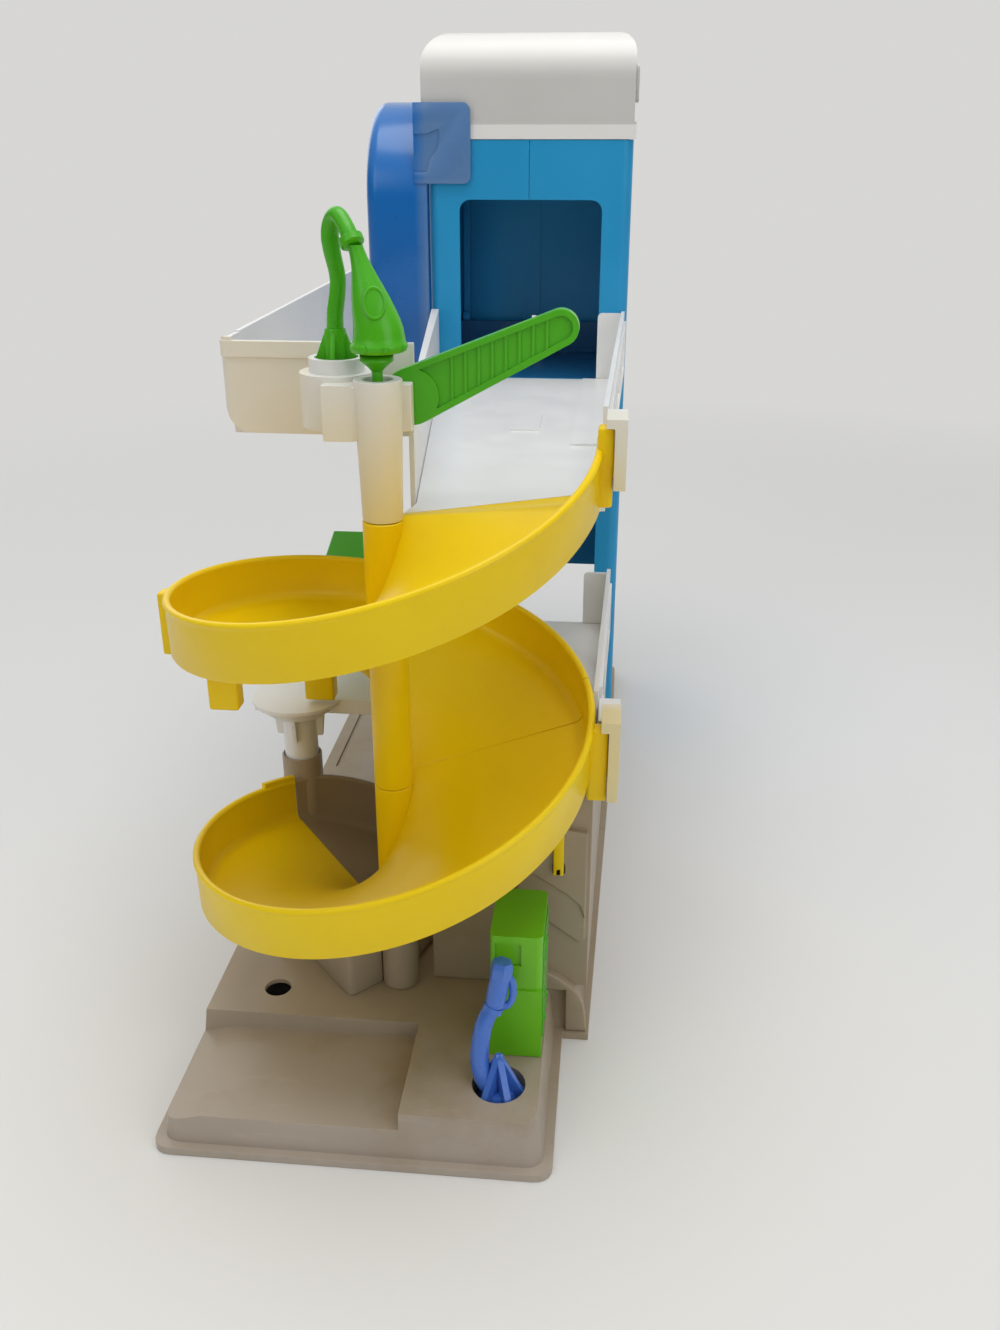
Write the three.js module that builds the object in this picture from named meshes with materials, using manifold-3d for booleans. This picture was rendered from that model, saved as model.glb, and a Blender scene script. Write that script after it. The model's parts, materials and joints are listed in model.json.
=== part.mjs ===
// Toy parking garage with a hand-worked lift, a spiral ramp, a boom gate and a fuel pump.
// Millimetres, +Z up. The origin is the axis of the spiral ramp, on the ground.
// +X is to the right and +Y runs back to the lift tower, for someone facing the ramp.
import * as THREE from 'three';
import { mergeVertices } from 'three/addons/utils/BufferGeometryUtils.js';
import Module from 'manifold-3d';

const wasm = await Module();
wasm.setup();

// Sizes shared by several pieces
const seat = 0.3;            // clearance between pieces that rest on or clip to each other
const fineSides = 28;        // sides of the larger round pieces
const roundSides = 20;       // sides of the smaller ones
const screwSides = 12;
const archSteps = 20;        // straight pieces in the arch's half circle
const tubeSteps = 3;         // straight pieces of a tube for each point of its route
const tubeSides = 5;         // straight pieces in a quarter of a tube's section
const running = 0.5;         // clearance of pieces that slide or turn
const wall = 2.2;            // usual moulded wall
const overrun = 2;           // how far a cutting tool runs past what it cuts
const floorTop = 29;         // ground floor that cars drive on
const deckTop = 275.2;       // upper deck's roadway
const deckThick = 3;         // plate of every deck
const railHigh = 44.8;       // railings beside the upper deck
const railTop = deckTop + railHigh;
const midTop = 151;          // mid deck
const quarterAngle = 90;     // a quarter turn, in degrees
const halfAngle = 2 * quarterAngle;
const fullAngle = 4 * quarterAngle;

// Spiral ramp: its turn angles run clockwise from +X seen from above, in degrees
const ramp = {
  radius: 94.3, column: 9, columnX: 0.7, wall: 2, floor: 2, side: 25, bead: 3, floorBelowRim: 23.4,
  rimStartAbove: 39.9, rimEndAbove: 79.3, dipDepth: 17, dipAngle: 105, dipPower: 1.5,
  innerStartAbove: 0.2, innerEndAbove: 32.7, capBelow: 1.5, seamBelow: 5.2, footBelow: 3.4,
  startAngle: -27, wallAngle: -2, bankAngle: 50, seamAngle: 344, endAngle: 584, stepAngle: 7.5,
};
ramp.rimStart = deckTop + ramp.rimStartAbove;
ramp.rimEnd = floorTop + ramp.rimEndAbove;
ramp.innerStart = deckTop + ramp.innerStartAbove;
ramp.innerEnd = floorTop + ramp.innerEndAbove;
const sideGap = 1.2;                       // from the ramp to the decks' right side
const flare = 6.5;                         // how much wider the decks are at the tower
const rightNear = ramp.radius + sideGap;   // right side of the decks at the ramp's axis
const rightFar = rightNear + flare;        // right side of the decks at the tower

// Light blue lift tower
const tower = {
  left: -27.7, rightOut: 1.5, front: 332, back: 462, topAbove: 148.8, wall: 2.4, corner: 7,
  doorLeftIn: 20.4, doorRightIn: 18.5, doorTopBelow: 35.5, doorCorner: 7, pillar: 16,
  underDeckBelow: 17.2, backOpening: 100, slotWidth: 13, slotTopAbove: 24.8,
};
tower.top = deckTop + tower.topAbove;
tower.doorTop = tower.top - tower.doorTopBelow;
tower.underDeck = deckTop - tower.underDeckBelow;
tower.slotTop = deckTop + tower.slotTopAbove;
tower.right = rightFar + tower.rightOut;
tower.doorLeft = tower.left + tower.doorLeftIn;
tower.doorRight = tower.right - tower.doorRightIn;
const seamX = (tower.left + tower.right) / 2;
const sideDoor = { radius: 40, springBelow: 62 };
sideDoor.spring = tower.top - sideDoor.springBelow;

const rampTab = {
  thick: 9, upperReach: 3.5, upperRise: 6.2, upperTall: 33.5, lowerReach: 5.9, lowerSink: 3.3, lowerTall: 36.3,
};
const leftTab = { out: 9.2, wide: 8, sink: 5.4, tall: 30 };
const rampLeg = { angle: 233.7, inset: 6, wide: 15.5, deep: 10 };
const underLeg = { angle: 146.7, inset: 19.6, wide: 13, deep: 9, tall: 24 };
const hook = { inset: 16.8, wide: 5, thick: 2.6, drop: 46, nub: 4, nubIn: 1 };

// Gray landing that carries the ramp down to the ground floor, with the support post's socket
const landing = {
  endAngle: 650, rimDrop: 34, innerEnd: 2.6, outerEnd: 4.4, endWall: 2,
  blockStart: 4, blockEnd: 84, blockWide: 27.8, blockFarWide: 22, blockGap: 2.4,
};
const socket = { angle: 230.3, out: 8.15, radius: 10.8, bore: 9.5, top: 116, depth: 20 };
const columnSocket = { radius: 9.2 };

// White support post
const supportPost = { shaft: 9.1, finRadius: 14, footRadius: 12.5, finThick: 2.6, finHigh: 14 };

// Gray base
const base = {
  leftOut: 4.9, rightIn: 10.4, frontOut: 3.5, stepY: -3, stepOut: 1.7, rearOut: 4, split: 199, behind: 10,
  lip: 4, lipHeight: 4, inset: 3.5, frontInset: 0.8, corner: 9, skin: 2.4, rib: 3, ribLow: 14, originPost: 13,
};
base.left = -ramp.radius - base.leftOut;
base.right = ramp.radius - base.rightIn;
base.front = -ramp.radius - base.frontOut;
base.stepX = rightNear + base.stepOut;
base.rearRight = rightFar + base.rearOut;
const baseBack = tower.back + base.behind;
const pad = { top: 20, back: -32.5, right: 15, slopeWide: 16, slopeDrop: 5 };
const smallHole = { x: -60.6, y: -12.7, radius: 6.6 };
const hubHole = { rightIn: 26.2, frontIn: 28.1, radius: 12.3, depth: 14, wall: 2.2, bottom: 3 };
hubHole.x = base.right - hubHole.rightIn;
hubHole.y = base.front + hubHole.frontIn;
const floorGroove = { inset: 8, width: 2.4, depth: 1.5, front: 222, backGap: 30 };
const well = { side: 0.4, depth: 21, pocket: 5.4 };
const cornerWall = { left: 17, front: 3, thick: 2.4, back: 196 };

// Raised shapes on the front of the corner wall, as [x, z] outlines that each stand proud by out
const reliefs = {
  lowLedge: { out: 1.6, outline: [[60, 126], [93.5, 121], [93.5, 59], [91, 57], [75.7, 68.4], [60, 78]] },
  highLedge: {
    out: 2.8,
    outline: [[60, 126], [93.5, 121], [93.5, 72], [90.7, 80], [86, 84.5], [68.3, 96.2], [60, 100]],
  },
  footLedge: {
    out: 4.4,
    outline: [[56, 29.3], [56, 43], [66, 40], [73.6, 36.5], [79, 34], [84, 31.5], [86, 29.3]],
  },
};

// Mid deck, its right wall and its booth
const mid = {
  front: 73, back: 199, leftIn: 6.3, skirt: 5, rampGap: 1.4, rightStart: 27, inset: 2.5,
  ringRadius: 24.5, ringFoot: 15.5, ringEdge: 2, ringDrop: 9.5,
};
mid.left = mid.leftIn - ramp.radius;
const midWall = { start: 22, topAbove: 35, endWide: 16, endThick: 2.4, endCorner: 3 };
midWall.top = midTop + midWall.topAbove;
const booth = {
  left: -61, right: -36, front: 132, back: 162, topAbove: 66, frontTopAbove: 56, door: 14, depth: 3,
};
booth.top = midTop + booth.topAbove;
booth.frontTop = midTop + booth.frontTopAbove;

// Windows and their frames in the right-hand walls
const windows = { frame: 1.4, sill: 9, head: 9, count: 3, bar: 9, frontGap: 24, backGap: 22 };

// Upper deck
const deck = { skirt: 5, leftNearX: 11.5, leftNearY: 21.5, leftFarX: -22, leftNearThick: 2.2, leftFarThick: 5 };
const deckCurb = { rightIn: 19.9, front: 138, high: 1.3 };
const deckMark = { left: 40.5, right: 56.5, front: 171, back: 213, high: 0.9 };
const railing = { start: 22, coverWide: 17.5, coverThick: 3.4, coverCorner: 3 };
const clip = {
  front: -12, back: 9, tail: 34, tailDrop: 9, thick: 5, hookIn: 3.6, upperAbove: 4.2, upperTall: 29.4,
  lowerAbove: 5.5, lowerTall: 40.2,
};

// Service bay on the left of the upper deck
const bay = {
  left: -77.6, front: 36, topAbove: 67.8, bottomAbove: 26.8, corner: 14, edge: 5,
  bandLowAbove: 60.8, bandOut: 1, floorFrontAbove: 32.8, levelFrom: 180,
  railTopAbove: 70.8, railNearAbove: 68.4, railStart: 62, lipHigh: 1.6, lipWide: 6,
};
bay.top = deckTop + bay.topAbove;
bay.bottom = deckTop + bay.bottomAbove;
bay.bandLow = deckTop + bay.bandLowAbove;
bay.floorFront = deckTop + bay.floorFrontAbove;
bay.railTop = deckTop + bay.railTopAbove;
bay.railNear = deckTop + bay.railNearAbove;
const cup = {
  x: -20.2, y: 18, radius: 12, bore: 9.4, topAbove: 64.6, depth: 12,
  bulge: 16.2, bulgeLowAbove: 35.8, bulgeTopAbove: 58.6,
};
cup.top = deckTop + cup.topAbove;
cup.bulgeLow = deckTop + cup.bulgeLowAbove;
cup.bulgeTop = deckTop + cup.bulgeTopAbove;
const bridge = { left: -22.4, right: -9.5, front: -5, back: 9, lowAbove: 33.3, topAbove: 56.4 };
bridge.low = deckTop + bridge.lowAbove;
bridge.top = deckTop + bridge.topAbove;

// White column cap, boom gate and its pin
const cap = {
  bottomRadius: 8.75, topRadius: 10.35, topAbove: 58.8, cupRadius: 6.4, cupDepth: 12, cupFloor: 5.8,
};
cap.top = deckTop + cap.topAbove;
const lug = { left: 3, right: 13.6, front: 5, back: 11.9, lowAbove: 35.8, topAbove: 55.8 };
lug.low = deckTop + lug.lowAbove;
lug.top = deckTop + lug.topAbove;
const gate = {
  pivotX: 8.5, pivotZAbove: 49.1, hubX: 12.3, hubRadius: 12, tipX: 75.4, tipZAbove: 78.4,
  tipRadius: 7.5, front: 12.4, thick: 6, border: 2.6, recess: 1.6, rib: 1.2, ribs: 9, bore: 2.7,
};
gate.pivotZ = deckTop + gate.pivotZAbove;
gate.tipZ = deckTop + gate.tipZAbove;
const gatePin = { radius: 2.4, start: 7, head: 4, headThick: 1.8 };

// Green hose and nozzle that stand in the bay's cup and the column's cup
// A route lists [x, y, z] steps from the piece's foot
const hose = {
  radius: 3.45, base: 8.4, baseHigh: 5, stem: 4.2, stemHigh: 21.2, fin: 8, finThick: 2, finHigh: 18.2,
  collar: 4.9, collarLow: 44.6, collarHigh: 49,
  route: [[0, 0, 17.2], [2, 0, 25], [2.2, 0, 33], [0.2, 0, 43], [0, 0, 50.5], [2, -2, 56], [5.4, -5.6, 56.8],
    [9.4, -10, 53], [13, -13.4, 47.2]],
};
const nozzle = {
  stem: 2.25, flange: 6.9, flangeLow: 7, flangeHigh: 10.4, rim: 11.9, rimLow: 12.8,
  rimHigh: 15.2, neck: 3.5, high: 50, leanX: -7.9, leanY: 4.6,
  sideShares: [
    [-0.05, 0.05, 0.88], [0.06, 0.23, 0.74], [0.29, 0.45, 0.63], [0.52, 0.67, 0.46], [0.82, 0.89, 0.33],
  ],
};

// Green fuel pump and its blue nozzle arm
const pump = {
  rightIn: 8.2, wide: 24.1, frontIn: 47.8, wallGap: 15, high: 67, corner: 3, stepHigh: 38, stepOut: 1,
  slotIn: 2.4, slotWide: 12, slotLow: 51, slotHigh: 63, slotDepth: 1.2,
};
pump.right = base.right - pump.rightIn;
pump.left = pump.right - pump.wide;
pump.front = base.front + pump.frontIn;
pump.back = cornerWall.front - pump.wallGap;
const panel = { inset: 3, low: 38, high: 90, thick: 1.6, proud: 0.6, dial: 6.5, dots: 3, dot: 2 };
const arm = {
  hub: 8.6, fin: 11.4, finThick: 2.2, finHigh: 17, hubHigh: 3, tube: 3.8, grip: 4.6, guardTube: 1.5,
  route: [[-1, -0.5, 0.5], [-5.2, -1, 0.8], [-8, -0.2, 7.5], [-8.6, 2, 16], [-6.6, 5.3, 28], [-2.6, 8.4, 38]],
  gripRoute: [[-2.8, 8.2, 37.4], [-1.6, 10, 44], [-0.6, 11.4, 50], [0, 12.6, 55.6]],
  guardRoute: [[-2.4, 8.8, 38], [2.6, 9.6, 36.4], [5, 10.6, 41], [4.6, 11.6, 48], [1.4, 12, 52]],
};

// Roof cap, its side plate and the dark blue arch
const roof = {
  leftOut: 4.8, rightOut: 1.3, frontOut: 0.5, backOut: 4,
  high: 63.2, band: 10, bandIn: 1.4, wall: 2.4,
  leftRound: 20, rightRound: 14, frontRound: 26, backRound: 20, lip: 6, lipWall: 2.2,
};
roof.left = tower.left - roof.leftOut;
roof.right = tower.right + roof.rightOut;
roof.front = tower.front - roof.frontOut;
roof.back = tower.back + roof.backOut;
const roofTop = tower.top + roof.high;
const roofPlate = { front: 352, back: 384, lowAbove: 22, highAbove: 44, out: 2, corner: 3 };
roofPlate.low = tower.top + roofPlate.lowAbove;
roofPlate.high = tower.top + roofPlate.highAbove;
const arch = {
  left: -68.6, frontOut: 3.4, radius: 60, topAbove: 23, wall: 3, frame: 11, frameThick: 2.4,
  edge: 8, edgeSteps: 4, tabRight: 0.6, tabLowBelow: 26, tabTopAbove: 21.6, tabThick: 2.6,
  tabCorner: 5, notchDeep: 1.2,
};
arch.front = tower.front - arch.frontOut;
arch.top = tower.top + arch.topAbove;
arch.tabLow = tower.top - arch.tabLowBelow;
arch.tabTop = tower.top + arch.tabTopAbove;
// The step sunk into the arch's tab, as [x, height above the tower's top] points
const archNotch = [[-27.6, -19], [-25.2, -10.8], [-20.2, -5], [-19.2, 6.6], [-26.3, 3.8], [-27.6, -2]];

// Lift inside the tower
const lift = {
  side: 0.9, frontGap: 0.9, backIn: 14, thick: 4, lipThick: 2, lipHigh: 3,
  beamThick: 5.2, beamBelow: 18.2, beamAbove: 21.8, footWide: 56,
  footReach: 18, footThick: 4.4, cheek: 2.2, cheekReach: 3.7, corner: 5,
};
lift.back = tower.back - lift.backIn;
const beamFront = lift.back + running;
const beamBack = beamFront + lift.beamThick;
const beamLow = deckTop - lift.beamBelow;
const beamHigh = deckTop + lift.beamAbove;
const rail = {
  inset: 5, width: 5, frontGap: 0.8, thick: 4.8, topBelow: 8, stopGap: 0.6, stopHigh: 5.4,
};
rail.top = tower.top - rail.topBelow;
const handle = { heightAbove: 10.8, shaft: 4, knob: 9, knobGap: 2.5, knobThick: 9.5 };
handle.height = deckTop + handle.heightAbove;
const brake = { gap: 0.25, thick: 0.32, width: 3.6, below: 13.2, above: 16.8 };
const screw = { radius: 1.5, bore: 1.85, head: 3, headThick: 1.8 };
const platformScrew = { apart: 36, frontIn: 10, length: 11.7 };
platformScrew.y = lift.back - platformScrew.frontIn;
platformScrew.left = seamX - platformScrew.apart / 2;
platformScrew.right = seamX + platformScrew.apart / 2;
const shellBoss = { radius: 4.6, heightBelow: 20, frontIn: 4.4, reach: 11 };
shellBoss.height = tower.top - shellBoss.heightBelow;
const shellScrew = { reach: 8 };

// Materials
function plastic(color, roughness) {
  return new THREE.MeshStandardMaterial({ color, roughness, metalness: 0 });
}
const yellow = plastic(0xebc314, 0.4);
const lightBlue = plastic(0x2d8cbe, 0.4);
const archBlue = plastic(0x055fb9, 0.25);
const white = plastic(0xebeef2, 0.45);
const roofWhite = plastic(0xd7d4d0, 0.45);
const green = plastic(0x50be2d, 0.4);
const pumpGreen = plastic(0x50b428, 0.4);
const nozzleBlue = plastic(0x4b78cd, 0.4);
const gray = plastic(0xa5988a, 0.6);
const liftBlue = plastic(0x1d5f92, 0.45);
const steel = new THREE.MeshStandardMaterial({ color: 0x9a9a9a, roughness: 0.35, metalness: 1 });

const garage = new THREE.Group();

// Turns a geometry into a closed solid whose faces point out
function toSolid(geometry) {
  const plain = geometry.clone();
  plain.deleteAttribute('normal');
  plain.deleteAttribute('uv');
  const merged = mergeVertices(plain, 1e-4);
  const index = withoutSlivers(merged.index.array);
  if (signedVolume(merged.attributes.position.array, index) < 0) {
    for (let i = 0; i < index.length; i += 3) {
      [index[i + 1], index[i + 2]] = [index[i + 2], index[i + 1]];
    }
  }
  const vertProperties = Float32Array.from(merged.attributes.position.array);
  return new wasm.Manifold(new wasm.Mesh({ numProp: 3, vertProperties, triVerts: index }));
}

// Triangles that have three different corners
function withoutSlivers(source) {
  const kept = [];
  for (let i = 0; i < source.length; i += 3) {
    const [a, b, c] = [source[i], source[i + 1], source[i + 2]];
    if (a !== b && b !== c && c !== a) kept.push(a, b, c);
  }
  return Uint32Array.from(kept);
}

function signedVolume(position, index) {
  const a = new THREE.Vector3();
  const b = new THREE.Vector3();
  const c = new THREE.Vector3();
  let sum = 0;
  for (let i = 0; i < index.length; i += 3) {
    a.fromArray(position, 3 * index[i]);
    b.fromArray(position, 3 * index[i + 1]);
    c.fromArray(position, 3 * index[i + 2]);
    sum += a.dot(b.cross(c));
  }
  return sum;
}

// Puts a named piece into the group
function add(name, solid, material) {
  const mesh = solid.getMesh();
  const geometry = new THREE.BufferGeometry();
  geometry.setAttribute('position', new THREE.Float32BufferAttribute(mesh.vertProperties, 3));
  geometry.setIndex(new THREE.Uint32BufferAttribute(mesh.triVerts, 1));
  geometry.computeVertexNormals();
  const object = new THREE.Mesh(geometry, material);
  object.name = name;
  garage.add(object);
}

function join(...solids) {
  return solids.reduce((sum, solid) => sum.add(solid));
}

// A box from its lowest to its highest corner
function box(x0, x1, y0, y1, z0, z1) {
  const geometry = new THREE.BoxGeometry(x1 - x0, y1 - y0, z1 - z0);
  geometry.translate((x0 + x1) / 2, (y0 + y1) / 2, (z0 + z1) / 2);
  return toSolid(geometry);
}

// An outline extruded along one axis: it is [y, z] along x, [x, z] along y and [x, y] along z
function extrude(outline, axis, from, to, curveSegments = 6) {
  const shape = outline instanceof THREE.Shape
    ? outline
    : new THREE.Shape(outline.map(([a, b]) => new THREE.Vector2(a, b)));
  const geometry = new THREE.ExtrudeGeometry(shape, {
    depth: to - from, bevelEnabled: false, curveSegments,
  });
  geometry.translate(0, 0, from);
  if (axis === 'x') {
    geometry.applyMatrix4(new THREE.Matrix4().set(0, 0, 1, 0, 1, 0, 0, 0, 0, 1, 0, 0, 0, 0, 0, 1));
  } else if (axis === 'y') {
    geometry.applyMatrix4(new THREE.Matrix4().set(1, 0, 0, 0, 0, 0, 1, 0, 0, 1, 0, 0, 0, 0, 0, 1));
  }
  return toSolid(geometry);
}

// A rectangle with rounded corners; the radii go round from the lower left corner
function roundedRect(a0, a1, b0, b1, r0, r1 = r0, r2 = r0, r3 = r0) {
  const shape = new THREE.Shape();
  const quarter = Math.PI / 2;
  shape.moveTo(a0 + r0, b0);
  shape.lineTo(a1 - r1, b0);
  if (r1) shape.absarc(a1 - r1, b0 + r1, r1, -quarter, 0, false);
  shape.lineTo(a1, b1 - r2);
  if (r2) shape.absarc(a1 - r2, b1 - r2, r2, 0, quarter, false);
  shape.lineTo(a0 + r3, b1);
  if (r3) shape.absarc(a0 + r3, b1 - r3, r3, quarter, 2 * quarter, false);
  shape.lineTo(a0, b0 + r0);
  if (r0) shape.absarc(a0 + r0, b0 + r0, r0, 2 * quarter, 3 * quarter, false);
  return shape;
}

// A turned piece about a vertical axis: the profile is [radius, height] points
function turned(profile, x, y, segments = 24) {
  const points = profile.map(([r, z]) => new THREE.Vector2(r, z));
  const geometry = new THREE.LatheGeometry(points, segments);
  geometry.rotateX(Math.PI / 2);
  geometry.translate(x, y, 0);
  return toSolid(geometry);
}

function round(x, y, radius, z0, z1, segments = 24, topRadius = radius) {
  return turned([[0, z0], [radius, z0], [topRadius, z1], [0, z1]], x, y, segments);
}

// A round bar along x, through a point given as [y, z], or along y, through [x, z]
function bar(axis, a, z, radius, from, to, segments = 16) {
  const geometry = new THREE.CylinderGeometry(radius, radius, to - from, segments);
  if (axis === 'x') {
    geometry.rotateZ(Math.PI / 2);
    geometry.translate((from + to) / 2, a, z);
  } else {
    geometry.translate(a, (from + to) / 2, z);
  }
  return toSolid(geometry);
}

// A closed solid through rings of points with the same count; flat is a ring's 2-D outline, for the caps
function loft(rings, flat) {
  const count = flat.length;
  const position = rings.flat().flatMap((point) => [point.x, point.y, point.z]);
  const index = [];
  for (let ring = 0; ring + 1 < rings.length; ring += 1) {
    for (let i = 0; i < count; i += 1) {
      const a = ring * count + i;
      const b = ring * count + ((i + 1) % count);
      index.push(a, b, b + count, a, b + count, a + count);
    }
  }
  const last = (rings.length - 1) * count;
  const way = Math.sign(THREE.ShapeUtils.area(flat));
  for (const face of THREE.ShapeUtils.triangulateShape(flat, [])) {
    const same = Math.sign(THREE.ShapeUtils.area(face.map((i) => flat[i]))) === way;
    const [a, b, c] = same ? face : [face[0], face[2], face[1]];
    index.push(a, c, b);
    index.push(last + a, last + b, last + c);
  }
  const geometry = new THREE.BufferGeometry();
  geometry.setAttribute('position', new THREE.Float32BufferAttribute(position, 3));
  geometry.setIndex(index);
  return toSolid(geometry);
}

// A tapered block between an outline at the bottom height and one with as many points at the top
function tapered(bottom, top, z0, z1) {
  const ring = (points, z) => points.map(([x, y]) => new THREE.Vector3(x, y, z));
  return loft([ring(bottom, z0), ring(top, z1)], bottom.map(([x, y]) => new THREE.Vector2(x, y)));
}

// Level circles at [x, y, z, radius] stations, joined into one leaning round body
function stacked(stations, segments = 20) {
  const circle = [];
  for (let i = 0; i < segments; i += 1) {
    const angle = (2 * Math.PI * i) / segments;
    circle.push(new THREE.Vector2(Math.cos(angle), Math.sin(angle)));
  }
  const rings = stations.map(([x, y, z, r]) => circle.map((point) => new THREE.Vector3(
    x + r * point.x, y + r * point.y, z)));
  return loft(rings, circle);
}

// A round tube along points
function tube(points, radius) {
  const curve = new THREE.CatmullRomCurve3(points.map(([x, y, z]) => new THREE.Vector3(x, y, z)));
  const section = new THREE.Shape();
  section.absarc(0, 0, radius, 0, 2 * Math.PI, false);
  const geometry = new THREE.ExtrudeGeometry(section, {
    steps: tubeSteps * points.length, extrudePath: curve, bevelEnabled: false, curveSegments: tubeSides,
  });
  return toSolid(geometry);
}

function mix(a, b, share) {
  return a + (b - a) * share;
}

function smooth(share) {
  const s = Math.min(1, Math.max(0, share));
  return s * s * (3 - 2 * s);
}

// Right side of the decks at a distance back: it flares out towards the tower
function rightAt(y) {
  return mix(rightNear, rightFar, y / tower.front);
}

// Left side of the roadway, and the width of the wall that stands there
function leftShare(y) {
  return (y - deck.leftNearY) / (tower.front - deck.leftNearY);
}

function leftAt(y) {
  return mix(deck.leftNearX, deck.leftFarX, leftShare(y));
}

// A point of the ramp's plan at a turn angle
function onTurn(turn, radius) {
  const angle = THREE.MathUtils.degToRad(turn);
  return [radius * Math.cos(angle), -radius * Math.sin(angle)];
}

function rimHeight(turn) {
  const near = (1 + Math.cos(THREE.MathUtils.degToRad(turn - ramp.dipAngle))) / 2;
  return mix(ramp.rimStart, ramp.rimEnd, turn / ramp.endAngle) - ramp.dipDepth * near ** ramp.dipPower;
}

function innerFloor(turn) {
  return Math.min(deckTop, mix(ramp.innerStart, ramp.innerEnd, turn / ramp.endAngle));
}

function outerFloor(turn) {
  const banked = rimHeight(turn) - ramp.floorBelowRim;
  return mix(deckTop, banked, smooth((turn - ramp.startAngle) / ramp.bankAngle));
}

// The rim bead's outline, as [out from the wall's inner face, down from the rim] shares of its width
const beadShares = [[0, 1], [-0.02, 0.6], [0.1, 0.2], [0.4, 0], [0.75, 0.15], [0.9, 0.5], [0.8, 1]];
const wallFootShare = 0.75;

// The channel's section as [radius, height] points: floor, outer wall, rim bead and back under the floor
function channel(inner, outer, rim, innerRadius, wallFoot) {
  const wallIn = ramp.radius - ramp.wall;
  const bead = beadShares.map(([out, down]) => [wallIn + ramp.bead * out, rim - ramp.bead * down]);
  return [
    [innerRadius, inner],
    [wallIn, outer],
    ...bead,
    [wallIn + ramp.wall * wallFootShare, wallFoot],
    [wallIn - seat, Math.max(wallFoot, outer - ramp.floor)],
    [innerRadius, inner - ramp.floor],
  ];
}

function rampSection(turn) {
  const outer = outerFloor(turn);
  const rim = rimHeight(turn);
  const foot = Math.min(rim - ramp.side, outer - ramp.floor);
  return channel(innerFloor(turn), outer, rim, ramp.column / 2, foot);
}

// A section swept round the ramp's axis
function sweepTurn(section, from, to) {
  const steps = Math.ceil((to - from) / ramp.stepAngle);
  const rings = [];
  for (let i = 0; i <= steps; i += 1) {
    const turn = from + ((to - from) * i) / steps;
    rings.push(section(turn).map(([r, z]) => new THREE.Vector3(...onTurn(turn, r), z)));
  }
  return loft(rings, section(from).map(([r, z]) => new THREE.Vector2(r, z)));
}

// A block centred on a place in plan, with its sides along x and y
function blockAt(place, low, high) {
  return box(place.x - place.wide / 2, place.x + place.wide / 2, place.y - place.deep / 2,
    place.y + place.deep / 2, low, high);
}

// The open space above the ramp's floor between two turn angles
function channelRoom(from, to) {
  return sweepTurn((turn) => {
    const top = rimHeight(turn) + overrun;
    const wallIn = ramp.radius - ramp.wall;
    return [
      [ramp.column / 2, innerFloor(turn)], [wallIn, outerFloor(turn)], [wallIn, top], [ramp.column / 2, top],
    ];
  }, from, to);
}

// A leg under the ramp, which ends in the floor above it
function legUnder(place, low) {
  const turn = place.angle;
  const share = (ramp.radius - place.inset - ramp.column / 2) / (ramp.radius - ramp.wall - ramp.column / 2);
  const top = mix(innerFloor(turn), outerFloor(turn), share);
  const reach = ramp.bankAngle / 2;
  return blockAt(place, low(top), top).subtract(channelRoom(turn - reach, turn + reach));
}

for (const leg of [rampLeg, underLeg]) [leg.x, leg.y] = onTurn(leg.angle, ramp.radius - leg.inset);
[socket.x, socket.y] = onTurn(socket.angle, ramp.radius + socket.out);
hook.left = ramp.radius - hook.inset;
hook.right = hook.left + hook.wide;

const columnSeam = innerFloor(ramp.seamAngle) - ramp.seamBelow;
const columnFoot = ramp.innerEnd - ramp.footBelow;
const capSeam = deckTop - ramp.capBelow;
const upperTabTop = rimHeight(0) + rampTab.upperRise;
const lowerTabTop = rimHeight(fullAngle) - rampTab.lowerSink;
const hookLow = lowerTabTop - rampTab.lowerTall - hook.drop;

function sideTab(out, top, tall) {
  return box(ramp.radius - ramp.wall, out, -rampTab.thick, 0, top - tall, top);
}

// The floor that reaches past the end of the outer wall to meet the upper deck
function leadSection(turn) {
  const [inner, outer] = [innerFloor(turn), outerFloor(turn)];
  return [
    [ramp.column / 2, inner], [ramp.radius - ramp.wall, outer],
    [ramp.radius - ramp.wall, outer - ramp.floor], [ramp.column / 2, inner - ramp.floor],
  ];
}

// A thin upright slice along the radial line at a turn angle, which parts two pieces of the ramp
function seamSlice(turn, low, high) {
  const [x, y] = onTurn(turn, ramp.radius + 2 * overrun);
  const [dx, dy] = onTurn(turn + quarterAngle, seat);
  return extrude([[-dx, -dy], [x - dx, y - dy], [x + dx, y + dy], [dx, dy]], 'z', low, high);
}

function upperRamp() {
  const sweep = sweepTurn(rampSection, ramp.wallAngle, ramp.seamAngle)
    .add(sweepTurn(leadSection, ramp.startAngle, ramp.wallAngle + 1));
  const column = round(ramp.columnX, 0, ramp.column, columnSeam, capSeam);
  const capRoom = round(ramp.columnX, 0, cap.bottomRadius + 2 * seat, capSeam, deckTop + overrun);
  const tab = sideTab(rightNear + rampTab.upperReach, upperTabTop, rampTab.upperTall);
  const leftTop = rimHeight(halfAngle) - leftTab.sink;
  const outerTab = box(-ramp.radius - leftTab.out, ramp.wall - ramp.radius, -leftTab.wide / 2, leftTab.wide / 2,
    leftTop - leftTab.tall, leftTop);
  const leg = legUnder(rampLeg, () => midTop + seat);
  const otherLeg = legUnder(underLeg, (top) => top - underLeg.tall);
  return join(sweep.subtract(capRoom), column, tab, outerTab, leg, otherLeg);
}

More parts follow.
